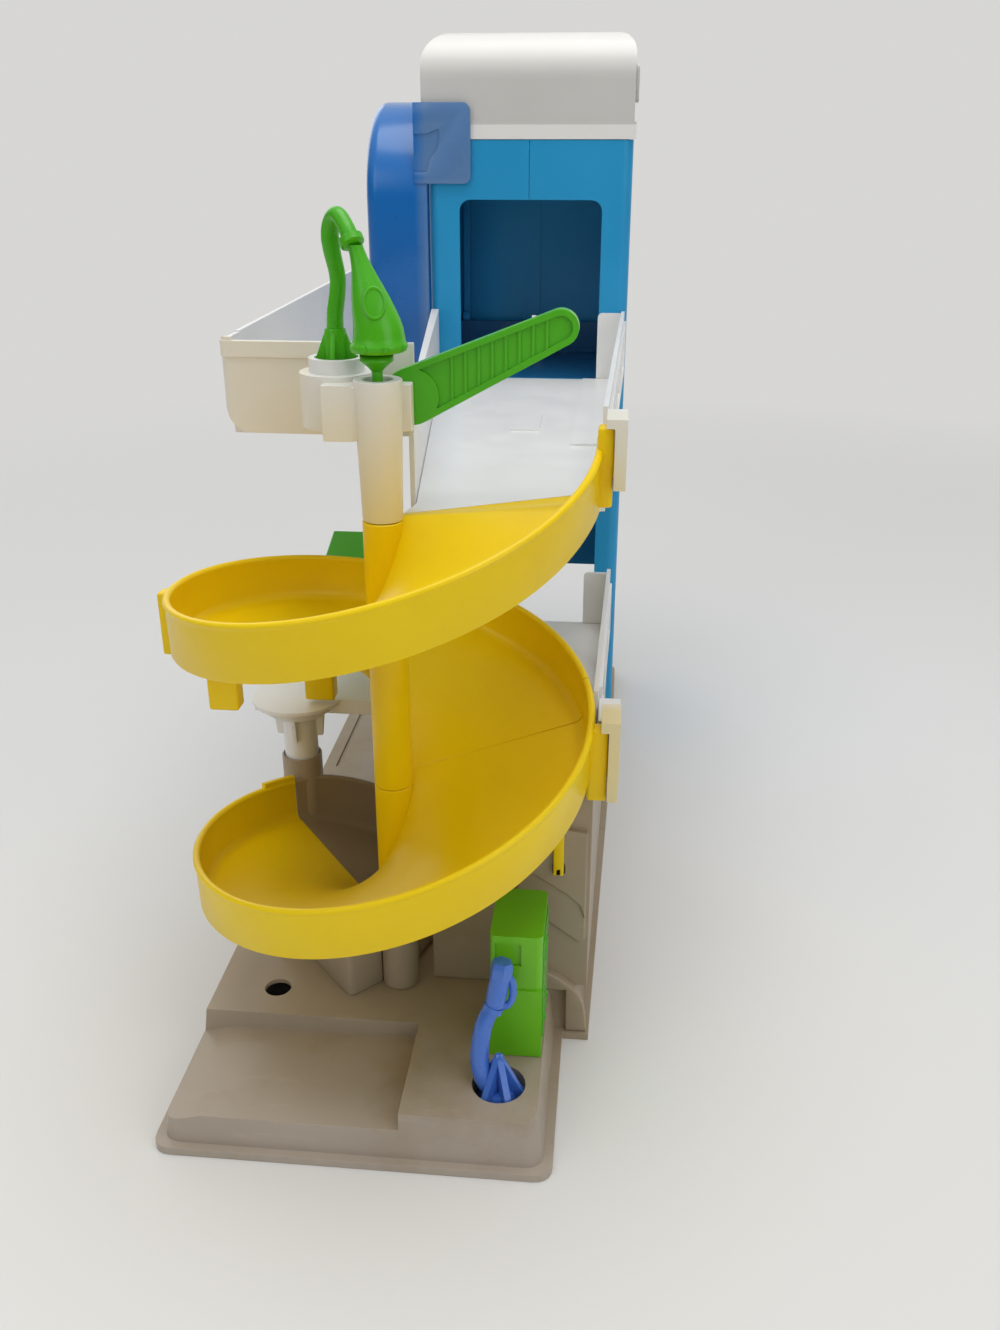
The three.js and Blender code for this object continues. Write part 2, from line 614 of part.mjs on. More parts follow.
function lowerRamp() {
  const sweep = sweepTurn(rampSection, ramp.seamAngle, ramp.endAngle)
    .subtract(seamSlice(ramp.seamAngle, 0, deckTop))
    .subtract(round(ramp.columnX, 0, ramp.column + seat, columnSeam - seat, deckTop));
  const column = round(ramp.columnX, 0, ramp.column, columnFoot, columnSeam - seat);
  const tab = sideTab(rightNear + rampTab.lowerReach, lowerTabTop, rampTab.lowerTall);
  const leg = box(hook.left, hook.right, -hook.thick, 0, hookLow, lowerTabTop - rampTab.lowerTall / 2);
  const nub = box(hook.left + hook.nubIn, hook.right - hook.nubIn, -hook.thick,
    cornerWall.front + hook.thick + cornerWall.thick, hookLow, hookLow + hook.nub);
  return join(sweep, column, tab, leg, nub);
}

const landingInner = ramp.column + ramp.columnX + running;

// Section of the gray landing: the ramp's channel carried on, with its outer wall down to the ground floor
function landingSection(turn) {
  const share = (turn - ramp.endAngle) / (landing.endAngle - ramp.endAngle);
  const rim = rimHeight(ramp.endAngle) - landing.rimDrop * smooth(share);
  const inner = mix(innerFloor(ramp.endAngle), floorTop + landing.innerEnd, share);
  const outer = mix(outerFloor(ramp.endAngle), floorTop + landing.outerEnd, share);
  const section = channel(inner, outer, rim, landingInner, floorTop + seat);
  const under = section.length - 2;
  const innerWall = ramp.radius - ramp.wall;
  section.splice(under, 1, [innerWall, floorTop + seat], [innerWall, outer - ramp.floor]);
  return section;
}

// The hollow block that the landing sets under the end of the yellow ramp, from a radial line forward
function landingBlock(inset) {
  const ahead = ramp.endAngle - quarterAngle;
  const at = (along, out) => {
    const [x, y] = onTurn(ramp.endAngle, along);
    const [dx, dy] = onTurn(ahead, out);
    return [x + dx, y + dy];
  };
  const top = ramp.innerEnd - ramp.floor - landing.blockGap - inset;
  const plan = [
    at(landing.blockStart + inset, inset - landing.endWall),
    at(landing.blockEnd - inset, inset - landing.endWall),
    at(landing.blockEnd - inset, landing.blockFarWide - inset),
    at(landing.blockStart + inset, landing.blockWide - inset),
  ];
  return extrude(plan, 'z', floorTop + seat - overrun * Math.sign(inset), top);
}

function rampLanding() {
  const start = ramp.endAngle;
  const sweep = sweepTurn(landingSection, start, landing.endAngle);
  const endWall = sweepTurn(() => [
    [landingInner, innerFloor(start) - ramp.floor / 2],
    [ramp.radius - ramp.wall / 2, outerFloor(start) - ramp.floor / 2],
    [ramp.radius - ramp.wall / 2, floorTop + seat],
    [landingInner, floorTop + seat],
  ], start, start + landing.endWall);
  const outside = round(socket.x, socket.y, socket.radius, floorTop + seat, socket.top);
  const bore = round(socket.x, socket.y, socket.bore, socket.top - socket.depth, socket.top + overrun);
  const columnRoom = round(ramp.columnX, 0, landingInner - ramp.columnX, floorTop, deckTop);
  const block = landingBlock(0).subtract(landingBlock(ramp.wall)).subtract(columnRoom);
  return join(sweep, endWall).subtract(seamSlice(start, columnFoot, deckTop)).add(block).add(outside)
    .subtract(bore);
}

function supportPostPiece() {
  const low = socket.top - socket.depth + seat;
  const high = midTop - mid.ringDrop - seat;
  const half = supportPost.finThick / 2;
  const finLow = high - supportPost.finHigh;
  const outline = (middle) => [
    [middle - supportPost.footRadius, finLow], [middle + supportPost.footRadius, finLow],
    [middle + supportPost.finRadius, high], [middle - supportPost.finRadius, high],
  ];
  const shaft = round(socket.x, socket.y, supportPost.shaft, low, high);
  const across = extrude(outline(socket.x), 'y', socket.y - half, socket.y + half);
  const along = extrude(outline(socket.y), 'x', socket.x - half, socket.x + half);
  return join(shaft, across, along);
}

// Rounds the corners of an outline whose index is listed
function rounded(points, corners, radius) {
  const steps = 5;
  return points.flatMap((corner, i) => {
    if (!corners.includes(i)) return [corner];
    const before = points[(i + points.length - 1) % points.length];
    const after = points[(i + 1) % points.length];
    const toward = ([x, y]) => {
      const length = Math.hypot(x - corner[0], y - corner[1]);
      return [corner[0] + (radius * (x - corner[0])) / length, corner[1] + (radius * (y - corner[1])) / length];
    };
    const [start, end] = [toward(before), toward(after)];
    return Array.from({ length: steps + 1 }, (_, k) => {
      const t = k / steps;
      const blend = (axis) => (1 - t) ** 2 * start[axis] + 2 * t * (1 - t) * corner[axis] + t * t * end[axis];
      return [blend(0), blend(1)];
    });
  });
}

function baseRightAt(y) {
  return mix(base.stepX, base.rearRight, Math.min(1, y / tower.front));
}

function frontOutline(inset, frontInset = inset) {
  const points = [
    [base.left + inset, base.front + frontInset],
    [base.right - inset, base.front + frontInset],
    [base.right - inset, base.stepY + inset],
    [baseRightAt(base.stepY) - inset, base.stepY + inset],
    [baseRightAt(base.split) - inset, base.split],
    [base.left + inset, base.split],
  ];
  return rounded(points, [0, 1], base.corner);
}

function rearOutline(inset) {
  const front = base.split + seat;
  const points = [
    [base.left + inset, front],
    [baseRightAt(front) - inset, front],
    [baseRightAt(tower.front) - inset, tower.front],
    [baseRightAt(baseBack) - inset, baseBack - inset],
    [base.left + inset, baseBack - inset],
  ];
  return rounded(points, [3, 4], base.corner);
}

function baseBlock(outline) {
  const flange = tapered(outline(0), outline(0), 0, base.lipHeight);
  const top = outline(base.lip + base.inset, base.lip + base.frontInset);
  const body = tapered(outline(base.lip), top, base.lipHeight - seat, floorTop);
  return flange.add(body);
}

function baseFront() {
  const edge = base.lip + base.inset + base.skin;
  const columns = [[base.left + edge, -base.rib / 2], [base.rib / 2, base.right - edge]];
  const padPockets = columns.map(([x0, x1], i) => box(
    i ? x0 : x0 + pad.slopeWide, x1, base.front + edge, pad.back - base.rib, -overrun, pad.top - base.skin));
  const rowMiddle = (pad.back + base.split) / 2;
  const floorPockets = [[pad.back + base.skin, rowMiddle], [rowMiddle + base.rib, base.split - base.rib]]
    .flatMap(([y0, y1]) => columns.map(([x0, x1]) => box(
      x0, x1, y0, y1, -overrun, floorTop - base.skin)));
  const room = box(base.left + edge, base.right - edge, base.front + edge, base.split - base.rib,
    -overrun, base.ribLow);
  const originPost = round(0, 0, base.originPost, -2 * overrun, floorTop);
  const hollow = join(room, ...padPockets, ...floorPockets).subtract(originPost);
  const slopeStart = base.left + base.lip + base.inset + pad.slopeWide;
  const recess = extrude([
    [base.left - overrun, pad.top - pad.slopeDrop], [base.left + base.lip, pad.top - pad.slopeDrop],
    [slopeStart, pad.top], [pad.right, pad.top], [pad.right, floorTop + overrun],
    [base.left - overrun, floorTop + overrun],
  ], 'y', base.front - overrun, pad.back);
  const cupLow = floorTop - hubHole.depth - hubHole.bottom;
  const hubCup = round(hubHole.x, hubHole.y, hubHole.radius + hubHole.wall, cupLow, floorTop - base.skin / 2);
  const hubBore = round(hubHole.x, hubHole.y, hubHole.radius, floorTop - hubHole.depth, floorTop + overrun);
  const pinHole = round(smallHole.x, smallHole.y, smallHole.radius, pad.top - base.skin, floorTop + overrun);
  return baseBlock(frontOutline).subtract(hollow).subtract(recess).add(hubCup).subtract(hubBore)
    .subtract(pinHole);
}

function baseRear() {
  const edge = base.lip + base.inset + base.skin;
  const wellBox = box(tower.left + tower.wall + well.side, tower.right - tower.wall - well.side,
    tower.front + tower.wall + well.side, tower.back - tower.wall,
    floorTop - well.depth, floorTop + overrun);
  const frontRow = [base.split + seat + base.rib, tower.front - base.rib];
  const backRow = [tower.front, baseBack - edge];
  const middle = (base.left + base.rearRight) / 2;
  const pockets = [
    box(base.left + edge, baseRightAt(base.split) - edge, ...frontRow, -overrun, base.ribLow),
    box(base.left + edge, middle - base.rib, ...frontRow, -overrun, floorTop - base.skin),
    box(middle, baseRightAt(base.split) - edge, ...frontRow, -overrun, floorTop - base.skin),
    box(base.left + edge, tower.left - base.rib, ...backRow, -overrun, floorTop - base.skin),
    box(tower.left, tower.right - base.rib, ...backRow, -overrun, well.pocket),
  ];
  const grooveLeft = base.left + base.lip + base.inset + floorGroove.inset;
  const groove = box(grooveLeft, grooveLeft + floorGroove.width, floorGroove.front,
    baseBack - floorGroove.backGap, floorTop - floorGroove.depth, floorTop + overrun);
  return baseBlock(rearOutline).subtract(join(...pockets)).subtract(wellBox).subtract(groove);
}

// Plan of a wall that follows the decks' flared right side, from one distance back to another
function sideWallPlan(start, end, thick, out = 0) {
  return [
    [rightAt(start) - thick, start], [rightAt(start) + out, start],
    [rightAt(end) + out, end], [rightAt(end) - thick, end],
  ];
}

function cornerWallPiece() {
  const low = floorTop + seat;
  const top = midTop - deckThick - mid.skirt - seat;
  const front = box(cornerWall.left, rightAt(cornerWall.front) - seat, cornerWall.front,
    cornerWall.front + cornerWall.thick, low, top);
  const side = extrude(sideWallPlan(cornerWall.front, cornerWall.back, cornerWall.thick), 'z', low, top);
  const raised = Object.values(reliefs).map(({ out, outline }) => extrude(outline, 'y', cornerWall.front - out,
    cornerWall.front + cornerWall.thick / 2));
  const slot = box(hook.left - running, hook.right + running, cornerWall.front - 2 * overrun,
    cornerWall.front + cornerWall.thick + overrun, hookLow - running, hookLow + hook.nub + 2 * running);
  return join(front, side, ...raised).subtract(slot);
}

// A right-hand wall with windows and a frame proud of its outer side
function windowWall(start, end, low, top) {
  const plate = extrude(sideWallPlan(start, end, wall), 'z', low, top);
  const frameStart = start + windows.frontGap - windows.bar;
  const frameEnd = end - windows.backGap + windows.bar;
  const sill = top - windows.head - (top - low) / 2;
  const frame = extrude(sideWallPlan(frameStart, frameEnd, wall / 2, windows.frame), 'z',
    sill - windows.sill / 2, top - windows.head / 2);
  const pitch = (frameEnd - frameStart - windows.bar) / windows.count;
  let solid = plate.add(frame);
  for (let i = 0; i < windows.count; i += 1) {
    const y0 = frameStart + windows.bar + i * pitch;
    const opening = box(rightAt(start) - wall - overrun, rightAt(end) + windows.frame + overrun,
      y0, y0 + pitch - windows.bar, sill, top - windows.head);
    solid = solid.subtract(opening);
  }
  return solid;
}

// The flat cover that faces forward at the far end of a right-hand wall
function endCover(end, wide, thick, corner, low, top) {
  const right = rightAt(end);
  return extrude(roundedRect(right - wide, right, low, top, 0, 0, corner, corner), 'y', end - thick, end);
}

function midRightWall() {
  const solid = windowWall(midWall.start, mid.back, midTop - deckThick - mid.skirt, midWall.top);
  return solid.add(endCover(mid.back, midWall.endWide, midWall.endThick, midWall.endCorner,
    midTop + seat, midWall.top - wall));
}

function rightRailing() {
  const end = tower.front - seat;
  const solid = windowWall(railing.start, end, deckTop - deckThick / 2, railTop);
  return solid.add(endCover(end, railing.coverWide, railing.coverThick, railing.coverCorner,
    deckTop + seat, railTop - wall / 2));
}

function midDeck() {
  const low = midTop - deckThick - mid.skirt;
  const outerRadius = ramp.radius + mid.rampGap;
  const edgeAt = (y) => rightAt(y) - wall - seat;
  const arcStart = Math.acos(mid.front / outerRadius);
  const arcEnd = Math.acos(mid.rightStart / outerRadius);
  const arcSteps = 6;
  const arc = Array.from({ length: arcSteps + 1 }, (_, k) => {
    const angle = mix(arcStart, arcEnd, k / arcSteps);
    return [outerRadius * Math.sin(angle), outerRadius * Math.cos(angle)];
  });
  const plate = extrude([
    [mid.left, mid.front], ...arc, [edgeAt(mid.rightStart), mid.rightStart],
    [edgeAt(mid.back), mid.back], [mid.left, mid.back],
  ], 'z', low, midTop);
  const ring = turned([
    [0, midTop - mid.ringDrop], [mid.ringFoot, midTop - mid.ringDrop], [mid.ringRadius, midTop - mid.ringEdge],
    [mid.ringRadius, midTop], [0, midTop],
  ], socket.x, socket.y, fineSides);
  const inset = mid.inset;
  const backPocket = box(mid.left + inset, edgeAt(outerRadius) - inset, outerRadius + inset, mid.back - inset,
    low - overrun, midTop - deckThick);
  const frontPocket = box(socket.x + mid.ringRadius + inset, arc[0][0] - inset, mid.front + inset, outerRadius,
    low - overrun, midTop - deckThick);
  const boothSill = box(booth.left - inset, booth.right + inset, booth.front - inset, booth.back + inset,
    low, midTop);
  return plate.add(ring).subtract(backPocket).subtract(frontPocket).add(boothSill);
}

function midBooth() {
  const low = midTop + seat;
  const body = extrude([
    [booth.front, low], [booth.back, low], [booth.back, booth.top], [booth.front, booth.frontTop],
  ], 'x', booth.left, booth.right);
  const middle = (booth.left + booth.right) / 2;
  const door = box(middle - booth.door / 2, middle + booth.door / 2, booth.front - overrun,
    booth.front + booth.depth, low + wall, booth.frontTop - 2 * booth.depth);
  const hollow = box(booth.left + wall, booth.right - wall, booth.front + booth.depth + wall,
    booth.back - wall, low - overrun, booth.frontTop - wall);
  return body.subtract(door).subtract(hollow);
}

function upperDeck() {
  const low = deckTop - deckThick - deck.skirt;
  const angle = THREE.MathUtils.degToRad(-ramp.startAngle);
  const [dx, dy] = [Math.cos(angle), Math.sin(angle)];
  const seamPoint = (r) => [r * dx - 2 * seat * dy, r * dy + 2 * seat * dx];
  const edgeAt = (y) => rightAt(y) - wall - seat;
  const leftEdge = (y) => leftAt(y) + seat;
  const back = tower.front - seat;
  const near = seamPoint(cap.bottomRadius + ramp.columnX + 2 * seat);
  const far = seamPoint(ramp.radius + ramp.bead / 5 + seat);
  const plan = [
    near, far, [edgeAt(far[1]), far[1]], [edgeAt(back), back], [leftEdge(back), back],
    [leftEdge(deck.leftNearY), deck.leftNearY],
  ];
  const plate = extrude(plan, 'z', low, deckTop);
  const inset = wall;
  const pocket = extrude([
    [leftEdge(deck.leftNearY) + 4 * inset, far[1] + inset], [far[0] - inset, far[1] + inset],
    [edgeAt(far[1]) - inset, far[1] + 2 * inset], [edgeAt(back) - inset, back - inset],
    [leftEdge(back) + inset, back - inset],
  ], 'z', low - overrun, deckTop - deckThick);
  const cover = railing.coverThick + seat;
  const curbLeft = rightNear - deckCurb.rightIn;
  const curb = extrude([
    [curbLeft, deckCurb.front], [edgeAt(deckCurb.front), deckCurb.front],
    [edgeAt(back - cover), back - cover - seat], [curbLeft, back - cover - seat],
  ], 'z', deckTop - deckThick / 2, deckTop + deckCurb.high);
  const keepOff = box(rightAt(back) - railing.coverWide - seat, rightAt(back), back - cover, back + overrun,
    deckTop, deckTop + overrun);
  const mark = box(deckMark.left, deckMark.right, deckMark.front, deckMark.back,
    deckTop - deckThick / 2, deckTop + deckMark.high);
  return join(plate.subtract(pocket), curb, mark).subtract(keepOff);
}

// A clip that holds a ramp's side tab to the wall behind it
function clipPiece(tabReach, tabTop, above, tall) {
  const high = tabTop + above;
  const low = high - tall;
  const inner = rightNear + tabReach + seat;
  const out = inner + clip.thick;
  const block = box(inner, out, clip.front, clip.back, low, high);
  const tail = extrude([
    [rightAt(clip.tail) + seat, clip.back - seat], [out, clip.back - seat], [out, clip.tail],
    [rightAt(clip.tail) + seat, clip.tail],
  ], 'z', low, high - clip.tailDrop);
  const top = box(inner - clip.hookIn, out, clip.front, clip.back, tabTop + seat, high);
  return join(block, tail, top);
}

function serviceBay() {
  const back = arch.front - seat;
  const deckLow = deckTop - deckThick - deck.skirt;
  const floorProfile = [
    [bay.front, bay.bottom], [bay.levelFrom, deckTop - deckThick - wall],
    [back, deckTop - deckThick - wall], [back, deckTop], [bay.levelFrom, deckTop],
    [bay.front, bay.floorFront],
  ];
  const floorPlan = [
    [bay.left, bay.front], [leftAt(bay.front), bay.front], [leftAt(back), back],
    [bay.left, back],
  ];
  // Looking from the front, the bay keeps the front wall's rounded lower corner all the way back
  const frontView = roundedRect(bay.left, leftAt(bay.front), deckLow, bay.top, bay.corner, 0, 0, 0);
  const nearView = roundedRect(bay.left, leftAt(bay.front), bay.bottom, bay.top, bay.corner, 0, 0, 0);
  const trim = extrude(nearView, 'y', bay.front, bay.front + bay.corner)
    .add(extrude(frontView, 'y', bay.front + bay.corner, back));
  const edge = extrude(roundedRect(bay.left, tower.right, bay.front, tower.back, bay.edge, 0, 0, 0), 'z',
    deckLow, railTop + bay.front, 6);
  const bandEdge = extrude(roundedRect(bay.left - bay.bandOut, tower.right, bay.front - bay.bandOut, tower.back,
    bay.edge + bay.bandOut, 0, 0, 0), 'z', deckLow, railTop + bay.front, 6);
  const floor = extrude(floorProfile, 'x', bay.left, deck.leftNearX)
    .intersect(extrude(floorPlan, 'z', deckLow, bay.top)).intersect(trim);
  const thickAt = (y) => mix(deck.leftNearThick, deck.leftFarThick, leftShare(y));
  const roadsideBack = tower.front - seat;
  const roadside = extrude([
    [leftAt(deck.leftNearY) - thickAt(deck.leftNearY), deck.leftNearY],
    [leftAt(deck.leftNearY), deck.leftNearY],
    [leftAt(roadsideBack), roadsideBack],
    [leftAt(roadsideBack) - thickAt(roadsideBack), roadsideBack],
  ], 'z', deckLow, railTop);
  const frontWall = extrude(nearView, 'y', bay.front, bay.front + wall);
  const band = box(bay.left - bay.bandOut, cup.x, bay.front - bay.bandOut, bay.front + wall / 2,
    bay.bandLow, bay.top);
  const lip = box(bay.left, bay.left + bay.lipWide, bay.front, bay.front + wall, bay.top - wall,
    bay.top + bay.lipHigh);
  const rail = extrude([
    [bay.front, bay.bottom + bay.corner], [bay.front + bay.corner, bay.bottom],
    [bay.levelFrom, deckTop - deckThick - wall], [back, deckTop - deckThick - wall],
    [back, bay.railTop], [bay.railStart, bay.railNear], [bay.railStart, bay.top],
    [bay.front, bay.top],
  ], 'x', bay.left, bay.left + wall);
  const bulge = round(cup.x, cup.y, cup.bulge, cup.bulgeLow, cup.bulgeTop, fineSides);
  const cupWall = round(cup.x, cup.y, cup.radius, cup.bulgeTop - wall, cup.top, fineSides);
  const bulgeBack = box(cup.x - cup.radius, cup.x + cup.radius, cup.y, bay.front + wall,
    cup.bulgeLow, cup.bulgeTop);
  const bore = round(cup.x, cup.y, cup.bore, cup.top - cup.depth, cup.top + overrun, fineSides);
  const bridgeBox = box(bridge.left, bridge.right, bridge.front, bridge.back, bridge.low, bridge.top);
  const capRoom = round(ramp.columnX, 0, cap.topRadius + seat, deckLow, railTop + bay.front, fineSides);
  const cornered = join(floor, frontWall, lip, rail).intersect(edge).add(band.intersect(bandEdge));
  return join(cornered, roadside, bulge, cupWall, bulgeBack, bridgeBox).subtract(bore).subtract(capRoom);
}

function columnCap() {
  const low = capSeam + seat;
  const body = turned([
    [0, low], [cap.bottomRadius, low], [cap.topRadius, cap.top], [cap.cupRadius, cap.top],
    [cap.cupFloor, cap.top - cap.cupDepth], [0, cap.top - cap.cupDepth],
  ], ramp.columnX, 0, fineSides);
  const hinge = box(lug.left, lug.right, lug.front, lug.back, lug.low, lug.top)
    .subtract(round(ramp.columnX, 0, cap.cupRadius, cap.top - cap.cupDepth, cap.top + overrun));
  const pinBore = bar('y', gate.pivotX, gate.pivotZ, gatePin.radius + seat, gatePin.start - seat,
    lug.back + overrun);
  return body.add(hinge).subtract(pinBore);
}

// Outline of the boom between its round hub and its round tip, drawn in by a distance
function boomOutline(inset) {
  const dx = gate.tipX - gate.hubX;
  const dz = gate.tipZ - gate.pivotZ;
  const axis = Math.atan2(dz, dx);
  const spread = Math.asin((gate.hubRadius - gate.tipRadius) / Math.hypot(dx, dz));
  const up = axis + Math.PI / 2 - spread;
  const down = axis - Math.PI / 2 + spread;
  const shape = new THREE.Shape();
  shape.absarc(gate.hubX, gate.pivotZ, gate.hubRadius - inset, up, down + 2 * Math.PI, false);
  shape.absarc(gate.tipX, gate.tipZ, gate.tipRadius - inset, down, up, false);
  return shape;
}

function boomGate() {
  const back = gate.front + gate.thick;
  const body = extrude(boomOutline(0), 'y', gate.front, back, 10);
  const hubKeep = bar('y', gate.hubX, gate.pivotZ, gate.hubRadius, gate.front - overrun, back + overrun, 24);
  const face = extrude(boomOutline(gate.border), 'y', gate.front - overrun, gate.front + gate.recess, 10)
    .subtract(hubKeep);
  const first = gate.hubX + gate.hubRadius;
  const pitch = (gate.tipX - first) / gate.ribs;
  let ribbed = face;
  for (let i = 1; i < gate.ribs; i += 1) {
    const x = first + i * pitch;
    ribbed = ribbed.subtract(box(x - gate.rib / 2, x + gate.rib / 2, gate.front + gate.recess / 2, back,
      gate.pivotZ - gate.hubRadius, gate.tipZ + gate.hubRadius));
  }
  const bore = bar('y', gate.pivotX, gate.pivotZ, gate.bore, gate.front - overrun, back + overrun);
  return body.subtract(ribbed).subtract(bore);
}

function gatePinPiece() {
  const head = gate.front + gate.thick + seat;
  return bar('y', gate.pivotX, gate.pivotZ, gatePin.radius, gatePin.start, head + gatePin.headThick / 2)
    .add(bar('y', gate.pivotX, gate.pivotZ, gatePin.head, head, head + gatePin.headThick));
}

const hoseFoot = cup.top - cup.depth + seat;

// A route's steps from a piece's foot, as places
function placed(route, x, y, z) {
  return route.map(([dx, dy, dz]) => [x + dx, y + dy, z + dz]);
}

function washHose() {
  const low = hoseFoot;
  const foot = round(cup.x, cup.y, hose.base, low, low + hose.baseHigh);
  const stem = round(cup.x, cup.y, hose.stem, low, cup.top + hose.stemHigh, roundSides);
  const finTop = cup.top + hose.finHigh;
  const fins = extrude([
    [cup.x - hose.fin, low + hose.baseHigh], [cup.x + hose.fin, low + hose.baseHigh],
    [cup.x + hose.stem, finTop], [cup.x - hose.stem, finTop],
  ], 'y', cup.y - hose.finThick / 2, cup.y + hose.finThick / 2);
  const route = placed(hose.route, cup.x, cup.y, cup.top);
  const pipe = tube(route, hose.radius);
  const [endX, endY] = route[route.length - 1];
  const collar = round(endX, endY, hose.collar, cup.top + hose.collarLow, cup.top + hose.collarHigh, roundSides);
  return join(foot, stem, fins, pipe, collar);
}

function washNozzle() {
  const x = ramp.columnX;
  const rimHigh = cap.top + nozzle.rimHigh;
  const high = cap.top + nozzle.high;
  const flangeLow = cap.top + nozzle.flangeLow;
  const flangeHigh = cap.top + nozzle.flangeHigh;
  const sides = nozzle.sideShares.map(([lean, rise, radius]) => [
    x + nozzle.leanX * lean, nozzle.leanY * lean, mix(rimHigh, high, rise), nozzle.rim * radius,
  ]);
  const body = stacked([
    [x, 0, flangeHigh, nozzle.flange], [x, 0, cap.top + nozzle.rimLow, nozzle.rim],
    [x, 0, rimHigh, nozzle.rim], ...sides, [x + nozzle.leanX, nozzle.leanY, high, nozzle.neck],
  ]);
  const flange = round(x, 0, nozzle.flange, flangeLow, flangeHigh);
  const stem = round(x, 0, nozzle.stem, cap.top - cap.cupDepth + seat, flangeLow + wall, 16);
  return join(body, flange, stem);
}

function pumpBody() {
  const low = floorTop + seat;
  const top = floorTop + pump.high;
  const plan = roundedRect(pump.left, pump.right, pump.front, pump.back, pump.corner);
  const body = extrude(plan, 'z', low, top);
  const step = box(pump.left, pump.right, pump.front - pump.stepOut, pump.front + pump.corner, low,
    floorTop + pump.stepHigh);
  const slotLeft = pump.left + pump.slotIn;
  const slot = box(slotLeft, slotLeft + pump.slotWide, pump.front - overrun, pump.front + pump.slotDepth,
    floorTop + pump.slotLow, floorTop + pump.slotHigh);
  const hollow = box(pump.left + wall, pump.right - wall, pump.front + pump.corner, pump.back - wall,
    low - overrun, top - wall);
  const seatCut = box(pump.right - panel.thick, pump.right + overrun, pump.front + panel.inset - seat,
    pump.back - panel.inset + seat, panel.low - seat, panel.high + seat);
  return join(body, step).subtract(slot).subtract(hollow).subtract(seatCut);
}

function pumpPanel() {
  const inner = pump.right - panel.thick + seat;
  const front = pump.front + panel.inset;
  const back = pump.back - panel.inset;
  const middle = (front + back) / 2;
  const plate = box(inner, pump.right + panel.proud, front, back, panel.low, panel.high);
  const dialHeight = panel.high - 2 * panel.dial;
  const dial = bar('x', middle, dialHeight, panel.dial, inner + seat, pump.right + 2 * panel.proud);
  let solid = plate.add(dial);
  for (let i = 0; i < panel.dots; i += 1) {
    const y = mix(front, back, (i + 1) / (panel.dots + 1));
    solid = solid.add(bar('x', y, panel.low + 3 * panel.dot, panel.dot, inner + seat,
      pump.right + 2 * panel.proud, screwSides));
  }
  return solid;
}

function pumpNozzle() {
  const low = floorTop - hubHole.depth + seat;
  const { x, y } = hubHole;
  const half = arm.finThick / 2;
  const hub = round(x, y, arm.hub, low, floorTop - arm.hubHigh);
  const fin = (middle) => [
    [middle - arm.fin, low], [middle + arm.fin, low], [middle + arm.fin, floorTop - wall],
    [middle, floorTop + arm.finHigh], [middle - arm.fin, floorTop - wall],
  ];
  const fins = extrude(fin(x), 'y', y - half, y + half).add(extrude(fin(y), 'x', x - half, x + half));
  const pipe = tube(placed(arm.route, x, y, floorTop), arm.tube);
  const grip = tube(placed(arm.gripRoute, x, y, floorTop), arm.grip);
  const guard = tube(placed(arm.guardRoute, x, y, floorTop), arm.guardTube);
  return join(hub, fins, pipe, grip, guard);
}

// The tower as one tube with its openings, before it is parted into two half shells
function towerTube() {
  const low = floorTop + seat;
  const { left, right, front, back, top, corner } = tower;
  const t = tower.wall;
  const outside = extrude(roundedRect(left, right, front, back, corner), 'z', low, top, 4);
  const inside = extrude(roundedRect(left + t, right - t, front + t, back - t, corner - t), 'z',
    low - overrun, top + overrun, 4);
  const door = extrude(roundedRect(tower.doorLeft, tower.doorRight, deckTop, tower.doorTop, 0, 0,
    tower.doorCorner, tower.doorCorner), 'y', front - overrun, front + t + overrun, 4);
  const lower = box(left + tower.pillar, right - tower.pillar, front - overrun, front + t + overrun,
    low - overrun, tower.underDeck);
  const lowerBack = box(left + tower.pillar, right - tower.pillar, back - t - overrun, back + overrun,
    low - overrun, tower.backOpening);
  const slot = box(seamX - tower.slotWidth / 2, seamX + tower.slotWidth / 2, back - t - overrun, back + overrun,
    tower.backOpening - overrun, tower.slotTop);
  const middle = arch.front + arch.radius;
  const doorway = new THREE.Shape();
  doorway.moveTo(middle - sideDoor.radius, deckTop);
  doorway.lineTo(middle + sideDoor.radius, deckTop);
  doorway.lineTo(middle + sideDoor.radius, sideDoor.spring);
  doorway.absarc(middle, sideDoor.spring, sideDoor.radius, 0, Math.PI, false);
  doorway.lineTo(middle - sideDoor.radius, deckTop);
  const side = extrude(doorway, 'x', left - overrun, left + t + overrun, 14);
  return outside.subtract(join(inside, door, lower, lowerBack, slot, side));
}

function shellBosses() {
  const t = tower.wall;
  const places = [tower.front + t + shellBoss.frontIn, tower.back - t - shellBoss.frontIn];
  return places.map((y) => bar('x', y, shellBoss.height, shellBoss.radius, seamX - shellBoss.reach,
    seamX + shellBoss.reach));
}

function towerShells() {
  const whole = join(towerTube(), ...shellBosses());
  const bores = shellBosses().map((_, i) => bar('x', shellScrewY(i), shellBoss.height, screw.bore,
    seamX - shellScrew.reach - seat, seamX + shellBoss.reach + overrun));
  const bored = whole.subtract(join(...bores));
  const far = tower.top + tower.right;
  const half = seat / 2;
  const leftSpace = box(-far, seamX - half, 0, far, -overrun, far);
  const rightSpace = box(seamX + half, far, 0, far, -overrun, far);
  return [bored.intersect(leftSpace), bored.intersect(rightSpace)];
}

function shellScrewY(i) {
  const t = tower.wall;
  return i ? tower.back - t - shellBoss.frontIn : tower.front + t + shellBoss.frontIn;
}

function shellScrewPiece(i) {
  const start = seamX - shellScrew.reach;
  const end = seamX + shellBoss.reach + seat;
  return bar('x', shellScrewY(i), shellBoss.height, screw.radius, start, end + screw.headThick / 2, screwSides)
    .add(bar('x', shellScrewY(i), shellBoss.height, screw.head, end, end + screw.headThick, screwSides));
}

